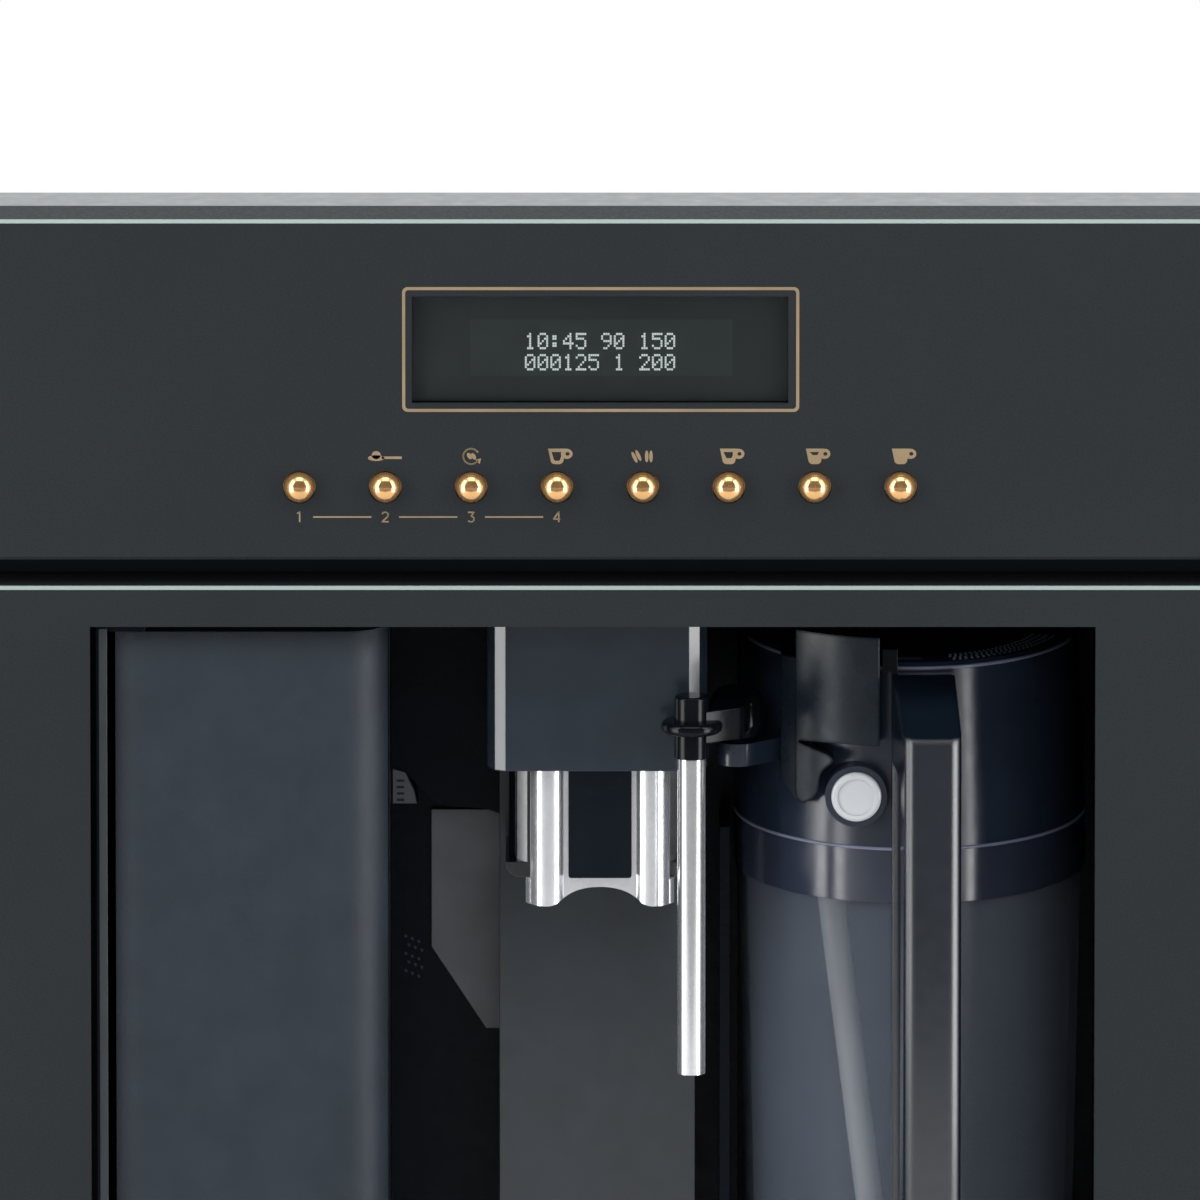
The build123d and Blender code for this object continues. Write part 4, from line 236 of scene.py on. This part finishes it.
DRESS = {
    COAT: ["control_panel", "front_frame"],
    DOOR: ["service_door"],
    ARM: ["milk_arm", "froth_slider"],
    CARRIER: ["spout_carrier"],
    FROTH: ["froth_cover"],
    HOUSING: ["spout_housing"],
    LID: ["jug_lid"],
    INLAY: ["spout_inlay"],
    LINER: ["bay_liner", "drip_tray"],
    COLUMN: ["tray_housing"],
    SATIN: ["panel_carrier", "tank_cradle", "bean_hopper", "water_pump", "infuser_frame",
            "mains_fittings", "grounds_container", "tank_lid", "hopper_lid", "grind_knob", "mains_switch",
            "infuser_carriage"],
    HANDLE: ["jug_handle"],
    LAMP: ["recess_lamp"],
    SILVER: ["clean_button"],
    BRASS: [f"button_{i}" for i in range(1, 9)],
    CHROME: ["milk_tube"],
    PLATED: ["spout_cover"],
    STEEL: ["steam_nozzle", "middle_rails", "cup_grille", "grinder_burr", "infuser_spindle"],
    BLACK_COAT: ["backplate"],
    ZINC: ["casing_shell", "rear_panel", "top_cover", "works_deck", "runner_tray"],
    CAST: ["grinder_body", "thermoblocks"],
    SMOKE: ["jug_vessel"],
    COLLAR: ["jug_collar"],
    TUBE: ["milk_intake_tube"],
    TANK: ["water_tank"],
    GLASS: ["display_window"],
    RUBBER: ["hoses"],
    BOARD: ["control_boards", "power_board"],
    RED: ["tray_float"],
}
for finish, names in DRESS.items():
    for name in names:
        for holder in NODES[name].material_slots:
            holder.material = finish
        if not NODES[name].material_slots:
            NODES[name].data.materials.append(finish)


# ---------------------------------------------------------------- meshes
def piece(name, mesh, finish, body):
    """A new piece of that mesh and finish, which rides on a body."""
    made = bpy.data.objects.new(name, mesh)
    bpy.context.scene.collection.objects.link(made)
    mesh.materials.append(finish)
    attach(made, body)
    return made


def as_mesh(name, grid):
    """The grid as a mesh, with its faces as they are."""
    mesh = bpy.data.meshes.new(name)
    grid.to_mesh(mesh)
    grid.free()
    return mesh


def closed_mesh(name, grid):
    """The grid as a mesh whose faces are turned outwards."""
    bmesh.ops.recalc_face_normals(grid, faces=grid.faces)
    return as_mesh(name, grid)


def loft(grid, rings):
    """Smooth sides through rings of points, in metres, with a flat face at each end."""
    loops = [[grid.verts.new(point) for point in ring] for ring in rings]
    for near, far in zip(loops, loops[1:]):
        for k in range(len(near)):
            after = (k + 1) % len(near)
            grid.faces.new((near[k], near[after], far[after], far[k])).smooth = True
    grid.faces.new(loops[-1])
    grid.faces.new(list(reversed(loops[0])))


def around(count):
    """That many angles in radians, evenly round a circle."""
    return [2 * math.pi * k / count for k in range(count)]


def print_plate(name, shapes, y, finish, body, thickness=0.04):
    """Thin plates seen from the front, from y forwards by their thickness.

    Each shape is an outline of (x, z) in mm, or a list of an outline and the hole in it.
    """
    grid = bmesh.new()
    for shape in shapes:
        rings = shape if isinstance(shape[0], list) else [shape]
        back, front = [[[grid.verts.new((x * MM, level * MM, z * MM)) for x, z in ring] for ring in rings]
                       for level in (y, y - thickness)]
        if len(rings) == 1:
            grid.faces.new(front[0])
            grid.faces.new(list(reversed(back[0])))
        count = len(rings[0])
        for i in range(count):
            j = (i + 1) % count
            for near, far in zip(back, front):
                grid.faces.new((near[i], near[j], far[j], far[i]))
            if len(rings) == 2:
                for outside, hole in (back, front):
                    grid.faces.new((outside[i], outside[j], hole[j], hole[i]))
    return piece(name, closed_mesh(name, grid), finish, body)


# ---------------------------------------------------------------- outlines of (x, z) in mm
def rounded(left, right, low, high, radius, steps=5):
    """A rounded rectangle, anticlockwise."""
    points = []
    for x, z, start in ((right - radius, low + radius, -90), (right - radius, high - radius, 0),
                        (left + radius, high - radius, 90), (left + radius, low + radius, 180)):
        for i in range(steps + 1):
            a = math.radians(start + 90 * i / steps)
            points.append((x + radius * math.cos(a), z + radius * math.sin(a)))
    return points


def oval(x, z, across, up, turn=0.0, count=28):
    """An ellipse with those half sizes, turned by degrees."""
    points = []
    t = math.radians(turn)
    for a in around(count):
        u, v = across * math.cos(a), up * math.sin(a)
        points.append((x + u * math.cos(t) - v * math.sin(t), z + u * math.sin(t) + v * math.cos(t)))
    return points


def bar(x1, z1, x2, z2, width):
    """A straight stroke between two points."""
    length = math.hypot(x2 - x1, z2 - z1)
    u, v = -(z2 - z1) / length * width / 2, (x2 - x1) / length * width / 2
    return [(x1 - u, z1 - v), (x2 - u, z2 - v), (x2 + u, z2 + v), (x1 + u, z1 + v)]


def band(points, width):
    """A stroke along several points, as separate quads with round joints."""
    made = [bar(*a, *b, width) for a, b in zip(points, points[1:])]
    return made + [oval(x, z, width / 2, width / 2, count=10) for x, z in points[1:-1]]


def bowl(x, z, rim, top, low, corner, steps=6):
    """A cup without its handle, narrower at its foot."""
    foot = rim - 0.7
    turns = [math.pi / 2 * i / steps for i in range(steps + 1)]
    right = [(foot - corner + corner * math.sin(a), low + corner - corner * math.cos(a)) for a in turns]
    right.append((rim, top))
    return [(x + u, z + v) for u, v in right + [(-u, v) for u, v in reversed(right)]]


def cup(x, z, level):
    """A cup seen from the side, filled up to a share of its height."""
    outside = bowl(x, z, 2.6, 2.3, -2.3, 1.3)
    if level >= 1:
        return [outside]
    return [[outside, bowl(x, z, 1.6, 1.3, -1.3 + 2.6 * level, 0.4)]]


def cup_handle(x, z):
    """The ring at a cup's right."""
    return [oval(x + 2.8, z + 0.75, 1.7, 1.5), oval(x + 3.05, z + 0.75, 0.6, 0.55)]


def bean(x, z, turn):
    """The two halves of a bean, on either side of its split."""
    t = math.radians(turn)
    u, v = 0.62 * math.cos(t), 0.62 * math.sin(t)
    return [oval(x - u, z - v, 0.52, 1.75, turn), oval(x + u, z + v, 0.52, 1.75, turn)]


def spoon(x, z):
    """A heaped measuring spoon from the side."""
    heap = [oval(x - 2.6, z - 0.5, 2.4, 0.85), oval(x - 2.6, z + 0.35, 1.3, 1.2)]
    return heap + [bar(x - 1, z - 0.4, x + 4.8, z - 0.4, 0.75)]


def turning_beans(x, z):
    """Two halves of a bean in a round arrow."""
    angles = [math.radians(a) for a in range(30, 331, 20)]
    arc = band([(x + 2.3 * math.cos(a), z + 2.3 * math.sin(a)) for a in angles], 0.5)
    head = [(x + 1.2, z - 1.0), (x + 2.9, z - 0.6), (x + 2.5, z - 2.3)]
    return arc + [head, oval(x - 0.5, z + 0.1, 0.6, 1.05, 30), oval(x + 0.7, z, 0.6, 1.05, 30)]


# ---------------------------------------------------------------- prints on the control panel
def button_x(i):
    """The middle of a button, counted from 0 at the left."""
    return (i - 3.5) * BUTTON_PITCH


icons = spoon(button_x(1), ICON_Z) + turning_beans(button_x(2), ICON_Z) + cup(button_x(3), ICON_Z, 0)
icons += bean(button_x(4) - 1.9, ICON_Z, 25) + bean(button_x(4) + 1.7, ICON_Z, 0)
icons += cup(button_x(5), ICON_Z, 0.3) + cup(button_x(6), ICON_Z, 0.65) + cup(button_x(7), ICON_Z, 1)
print_plate("panel_icons", icons, FRONT_Y, PRINT, "machine")
handles = [cup_handle(button_x(i), ICON_Z) for i in (3, 5, 6, 7)]
print_plate("panel_icon_handles", handles, FRONT_Y, PRINT, "machine", 0.02)

window_line = [rounded(-57.3, 57.7, 399.3, 436.2, 1.6), rounded(-56.4, 56.8, 400.2, 435.3, 0.9)]
links = [bar(button_x(i) + 4, LABEL_Z, button_x(i + 1) - 4, LABEL_Z, 0.45) for i in range(3)]
print_plate("panel_lines", [window_line] + links, FRONT_Y, PRINT, "machine")

STROKES = {
    "1": [(-0.6, 1.0), (0.1, 1.5), (0.1, -1.5)],
    "2": [(-0.9, 0.9), (-0.5, 1.4), (0.4, 1.4), (0.9, 0.8), (0.7, 0.1), (-0.9, -1.4), (1.0, -1.4)],
    "3": [(-0.9, 1.4), (0.8, 1.4), (0.0, 0.3), (0.8, -0.2), (0.8, -1.0), (0.2, -1.5), (-0.9, -1.2)],
    "4": [(0.9, -0.6), (-1.0, -0.6), (0.5, 1.5), (0.5, -1.5)],
}
digits = []
for place, sign in enumerate("1234"):
    digits += band([(button_x(place) + x, LABEL_Z + z) for x, z in STROKES[sign]], 0.42)
print_plate("panel_numerals", digits, FRONT_Y, PRINT, "machine")

# ---------------------------------------------------------------- display: mask, field and numerals
DOTS = {
    "0": "01110 10001 10011 10101 11001 10001 01110", "1": "00100 01100 00100 00100 00100 00100 01110",
    "2": "01110 10001 00001 00010 00100 01000 11111", "4": "00010 00110 01010 10010 11111 00010 00010",
    "5": "11111 10000 11110 00001 00001 10001 01110", "9": "01110 10001 10001 01111 00001 00010 01100",
    ":": "00000 01100 01100 00000 01100 01100 00000", " ": "00000 00000 00000 00000 00000 00000 00000",
}
DOT_PITCH, LINE_PITCH = 0.62, 0.7
SIGN_PITCH, ROW_PITCH = 3.68, 6.26
TEXT_LEFT, TEXT_TOP = -21.75, 422.1
DOT_SHARE = 0.9  # of the pitch that a dot fills

dots = []
for row, signs in enumerate(("10:45 90 150", "000125 1 200")):
    for place, sign in enumerate(signs):
        for line, bits in enumerate(DOTS[sign].split()):
            for column, bit in enumerate(bits):
                if bit == "1":
                    x = TEXT_LEFT + place * SIGN_PITCH + column * DOT_PITCH
                    z = TEXT_TOP - row * ROW_PITCH - line * LINE_PITCH
                    dots.append(rounded(x, x + DOT_PITCH * DOT_SHARE, z - LINE_PITCH * DOT_SHARE, z, 0.05, 1))
mask = rounded(-54.3, 54.3, 402.0, 433.2, 0.5)
field = rounded(-37.6, 38.4, 409.4, 426.0, 0.3)
print_plate("display_mask", [mask], DISPLAY_Y, MASK, "machine", 0.02)
print_plate("display_field", [field], DISPLAY_Y - 0.1, FIELD, "machine", 0.02)
print_plate("display_dots", dots, DISPLAY_Y - 0.18, LIT, "machine", 0.02)

# ---------------------------------------------------------------- slotted fin and vent holes of the recess
lamp_low, lamp_high = box_mm("recess_lamp")
fin_x, fin_z = lamp_low[0] - 11.8, lamp_high[2] + 4.0
fin = [(fin_x + x, fin_z + z) for x, z in ((0.5, 0.3), (7.5, 0.3), (6.8, 3.9), (4.2, 9.6), (0.5, 10.6))]
print_plate("fin_plate", [fin], FIN_Y, FIN, "machine", 0.4)
slots = [rounded(fin_x + 1.6, fin_x + 3.9, fin_z + 1.0 + 1.9 * i, fin_z + 1.75 + 1.9 * i, 0.35, 3)
         for i in range(4)]
print_plate("fin_slots", slots, FIN_Y - 0.42, SATIN, "machine", 0.03)

holes = [oval(-57.0 + 1.9 * column + 0.9 * (row % 2), 221.5 - 2.6 * row - 0.8 * column, 0.42, 0.55, 30, 10)
         for row in range(5) for column in range(3)]
print_plate("vent_holes", holes, VENT_Y, HOLE, "machine", 0.1)


# ---------------------------------------------------------------- thin trims, and light beads that paint rim highlights
def jug_arc(inset, z, start, end, steps):
    """Points in metres along the front of the jug's plan, between two angles in degrees from +X."""
    low, high = box_mm("jug_collar")
    half = (high[0] - low[0]) / 2
    middle_x = low[0] + half
    reach = JUG_MIDDLE_Y - low[1]
    points = []
    for i in range(steps + 1):
        a = math.radians(start + (end - start) * i / steps)
        points.append(Vector(((middle_x + (half - inset) * math.cos(a)) * MM,
                              (JUG_MIDDLE_Y + (reach - inset) * math.sin(a)) * MM, z * MM)))
    return points


def bead(name, points, radius, finish, body, sides=8):
    """A thin round bead along the points, closed at both ends; its radius is in mm."""
    rings = []
    for i, point in enumerate(points):
        along = (points[min(i + 1, len(points) - 1)] - points[max(i - 1, 0)]).normalized()
        across = along.cross(Vector((0, 0, 1))).normalized()
        up = across.cross(along)
        rings.append([point + (across * math.cos(a) + up * math.sin(a)) * radius * MM for a in around(sides)])
    grid = bmesh.new()
    loft(grid, rings)
    return piece(name, closed_mesh(name, grid), finish, body)


def studs(name, places, radius, height, finish, body, sides=10):
    """Small domes that stand up from a level face, each at a place in mm."""
    grid = bmesh.new()
    for x, y, z in places:
        loft(grid, [[((x + share * radius * math.cos(a)) * MM, (y + share * radius * math.sin(a)) * MM,
                      (z + rise * height) * MM) for a in around(sides)]
                    for share, rise in ((1, 0), (0.85, 0.6), (0.5, 0.95))])
    return piece(name, closed_mesh(name, grid), finish, body)


collar_top = box_mm("jug_collar")[1][2]
lid_top = box_mm("jug_lid")[1][2]
# Light beads along the front top edges of the collar and the lid: painted highlights of those rounded edges.
bead("collar_rim_highlight", jug_arc(-0.05, collar_top + 0.1, 182, 358, 60), 0.5, RIM, "jug")
bead("lid_rim_highlight", jug_arc(2.6, lid_top - 1.4, 196, 344, 60), 0.55, RIM, "jug")

# The lid's stipple is real dimpling; its light colour is a painted highlight.
stipple = [(point.x / MM, point.y / MM, lid_top) for row in range(4)
           for point in jug_arc(6.5 + 2.1 * row, 0, 286 + row % 2, 338, 22)]
studs("lid_stipple", stipple, 0.5, 0.3, RIM, "jug")

door_low, door_high = box_mm("service_door")
door_strip = rounded(door_low[0] - 4.8, door_low[0] - 2.4, door_low[2] + 3, door_high[2] - 1.0, 0.4, 3)
liner_front = box_mm("bay_liner")[0][1]
print_plate("door_trim", [door_strip], liner_front, TRIM, "machine", 0.25)


# ---------------------------------------------------------------- screws on the hidden sides
HEAD_RADIUS, HEAD_HEIGHT = 3.1, 1.7
EDGE_INSET, END_INSET = 9, 14  # of a screw from its sheet's edges, in mm


def screw_mesh(name, radius, height, sides=24):
    """Pan head with a six-sided socket, its seat at z = 0 and its head up, in metres."""
    angles = around(sides)
    rings = [[(share * radius * math.cos(a), share * radius * math.sin(a), rise * height) for a in angles]
             for share, rise in ((1.0, 0.0), (1.0, 0.45), (0.93, 0.75), (0.8, 0.93), (0.62, 1.0))]
    for rise in (1.0, 0.35):
        ring = []
        for a in angles:
            # The distance to the socket's wall in that direction.
            wall = 0.48 * radius * math.cos(math.pi / 6) / math.cos((a % (math.pi / 3)) - math.pi / 6)
            ring.append((wall * math.cos(a), wall * math.sin(a), rise * height))
        rings.append(ring)
    grid = bmesh.new()
    loft(grid, rings)
    return closed_mesh(name, grid)


def screws(name, places, normal):
    """One piece of the machine with a screw head at each place, in mm, all facing one way."""
    head = screw_mesh(name + "_head", HEAD_RADIUS * MM, HEAD_HEIGHT * MM)
    turn = Vector(normal).to_track_quat("Z", "Y").to_matrix().to_4x4()
    grid = bmesh.new()
    for place in places:
        start = len(grid.verts)
        grid.from_mesh(head)
        grid.verts.ensure_lookup_table()
        for vertex in grid.verts[start:]:
            vertex.co = turn @ vertex.co + Vector([v * MM for v in place])
    bpy.data.meshes.remove(head)
    # Each head's faces look outwards already, and turning them again here would flip some.
    return piece(name, as_mesh(name, grid), SCREW, "machine")


rear_low, rear_high = box_mm("rear_panel")
rear_x = (rear_low[0] + EDGE_INSET, 0, rear_high[0] - EDGE_INSET)
rear_z = (rear_low[2] + EDGE_INSET, (rear_low[2] + rear_high[2]) / 2, rear_high[2] - EDGE_INSET)
rear_places = [(x, rear_high[1], z) for x in rear_x for z in rear_z if (x, z) != (0, rear_z[1])]
screws("rear_screws", rear_places, (0, 1, 0))

top_low, top_high = box_mm("top_cover")
top_x = (top_low[0] + EDGE_INSET, top_high[0] - EDGE_INSET)
top_y = (top_low[1] + END_INSET, (top_low[1] + top_high[1]) / 2, top_high[1] - END_INSET)
screws("top_screws", [(x, y, top_high[2]) for x in top_x for y in top_y], (0, 0, 1))

# The right side has the tank's opening, so its low row is shorter.
back_row = [(box_mm("casing_shell")[1][1] - 12, z) for z in (90, 200, 310)]
left_row = [(y, 62) for y in (-120, 0, 100)]
right_row = [(y, 62) for y in (40, 110)]
screws("left_screws", [(top_low[0], y, z) for y, z in back_row + left_row], (-1, 0, 0))
screws("right_screws", [(top_high[0], y, z) for y, z in back_row + right_row], (1, 0, 0))

plate_low, plate_high = box_mm("backplate")
plate_x = (plate_low[0] + 26, plate_high[0] - 26)
screws("plate_screws", [(x, PLATE_BACK_Y, z) for x in plate_x for z in (60, 170, 280, 372)], (0, 1, 0))


# ---------------------------------------------------------------- studio
scene = bpy.context.scene
scene.view_settings.view_transform = "Standard"

# The world is white to the camera, in gloss and through glass, and lights the object at half of that.
world = bpy.data.worlds.new("studio")
scene.world = world
world.use_nodes = True
sky = world.node_tree
background = sky.nodes["Background"]
background.inputs["Color"].default_value = (1, 1, 1, 1)
rays = new_node(sky, "ShaderNodeLightPath")
seen = rays.outputs["Is Camera Ray"]
for kind in ("Is Glossy Ray", "Is Transmission Ray"):
    either = new_node(sky, "ShaderNodeMath", operation="MAXIMUM")
    sky.links.new(seen, either.inputs[0])
    sky.links.new(rays.outputs[kind], either.inputs[1])
    seen = either.outputs["Value"]
strength = new_node(sky, "ShaderNodeMapRange", {"To Min": 0.5, "To Max": 1.0})
sky.links.new(seen, strength.inputs["Value"])
sky.links.new(strength.outputs["Result"], background.inputs["Strength"])


def lamp(name, place, aim, width, watts, tall=None):
    """A soft box at a place, turned to a point; it is square unless it is given a height."""
    light = bpy.data.lights.new(name, "AREA")
    light.shape = "RECTANGLE"
    light.size = width
    light.size_y = tall or width
    light.energy = watts
    made = bpy.data.objects.new(name, light)
    made.location = place
    made.rotation_euler = (Vector(aim) - Vector(place)).to_track_quat("-Z", "Y").to_euler()
    made.visible_camera = False
    scene.collection.objects.link(made)


RECESS = (0, -0.17, 0.3)
lamp("left_box", (-1.08, -0.62, 0.74), RECESS, 0.6, 5.6, 1.46)
lamp("right_box", (1.08, -0.62, 0.74), RECESS, 0.6, 4.6, 1.46)
lamp("left_strip", (-0.98, -0.715, 0.74), RECESS, 0.13, 4.6, 1.46)
lamp("right_strip", (0.98, -0.715, 0.74), RECESS, 0.13, 4.0, 1.46)
lamp("brow_strip", (0, -1.6, 0.96), RECESS, 1.7, 2.6, 0.07)
lamp("top_box", (0, -0.9, 2.4), (0, -0.1, 0.3), 1.6, 20)


def stage_sheet(name, corners, material):
    """A flat sheet of the studio, which isn't part of the object."""
    mesh = bpy.data.meshes.new(name)
    mesh.from_pydata(corners, [], [(0, 1, 2, 3)])
    mesh.materials.append(material)
    made = bpy.data.objects.new(name, mesh)
    scene.collection.objects.link(made)
    return made


def card(name, corners, level):
    """A studio card that only polished surfaces see."""
    paper = bpy.data.materials.new(name)
    paper.use_nodes = True
    nodes = paper.node_tree.nodes
    nodes.remove(nodes["Principled BSDF"])
    glow = new_node(paper.node_tree, "ShaderNodeEmission", {"Strength": level})
    paper.node_tree.links.new(glow.outputs["Emission"], nodes["Material Output"].inputs["Surface"])
    made = stage_sheet(name, corners, paper)
    made.visible_camera = False
    made.visible_diffuse = False
    made.visible_shadow = False


def upright(start, end, low, high):
    """Corners of an upright sheet between two points of (x, y), in metres."""
    return [(*start, low), (*end, low), (*end, high), (*start, high)]


def round_recess(azimuth, distance):
    """The point of (x, y) at a distance from the recess; azimuth 0 is straight in front of it."""
    a = math.radians(azimuth)
    return distance * math.sin(a), RECESS[1] - distance * math.cos(a)


CARD_LOW = 0.002  # just above the floor
card("black_card", upright((-1.5, -1.0), (1.2, -1.0), 0.47, 1.9), 0.0)
card("grey_card", upright((-1.15, -1.1), (1.15, -1.1), CARD_LOW, 0.46), 0.27)
card("left_glow", upright(round_recess(-50, 0.9), round_recess(-74, 0.9), CARD_LOW, 0.42), 7.0)
card("right_glow", upright(round_recess(50, 0.9), round_recess(74, 0.9), CARD_LOW, 0.42), 9.0)

# Away from the object, the camera sees the floor fade to white.
ground = Shader("floor", Base_Color=(0.8, 0.8, 0.8, 1), Roughness=0.7)
white = ground.node("ShaderNodeEmission", {"Strength": 1.0})
distance = ground.node("ShaderNodeVectorMath", operation="LENGTH")
ground.link(ground.coordinates.outputs["Object"], distance.inputs[0])
fade = ground.node("ShaderNodeMapRange", {"From Min": 0.5, "From Max": 1.5}, interpolation_type="SMOOTHSTEP")
ground.link(distance.outputs["Value"], fade.inputs["Value"])
shown = ground.node("ShaderNodeMath", operation="MULTIPLY")
ground.link(fade.outputs["Result"], shown.inputs[0])
ground.link(ground.node("ShaderNodeLightPath").outputs["Is Camera Ray"], shown.inputs[1])
mix = ground.node("ShaderNodeMixShader")
ground.link(shown.outputs["Value"], mix.inputs["Fac"])
ground.link(ground.bsdf.outputs["BSDF"], mix.inputs[1])
ground.link(white.outputs["Emission"], mix.inputs[2])
ground.link(mix.outputs["Shader"], ground.tree.nodes["Material Output"].inputs["Surface"])
FLOOR_HALF, FLOOR_Z = 9, -0.0006  # in metres, a little below the object's foot
floor_corners = [(x * FLOOR_HALF, y * FLOOR_HALF, FLOOR_Z) for x, y in ((-1, -1), (1, -1), (1, 1), (-1, 1))]
stage_sheet("floor", floor_corners, ground.material)

# The photograph's viewing angle: 12 degrees above the horizon, and far away.

eye = bpy.data.cameras.new("camera")
eye.sensor_width = 36
eye.lens = 1034.5
camera = bpy.data.objects.new("camera", eye)
camera.location = (0, -9.97148, 2.42272)
camera.rotation_euler = (math.radians(78), 0, 0)
scene.collection.objects.link(camera)
scene.camera = camera
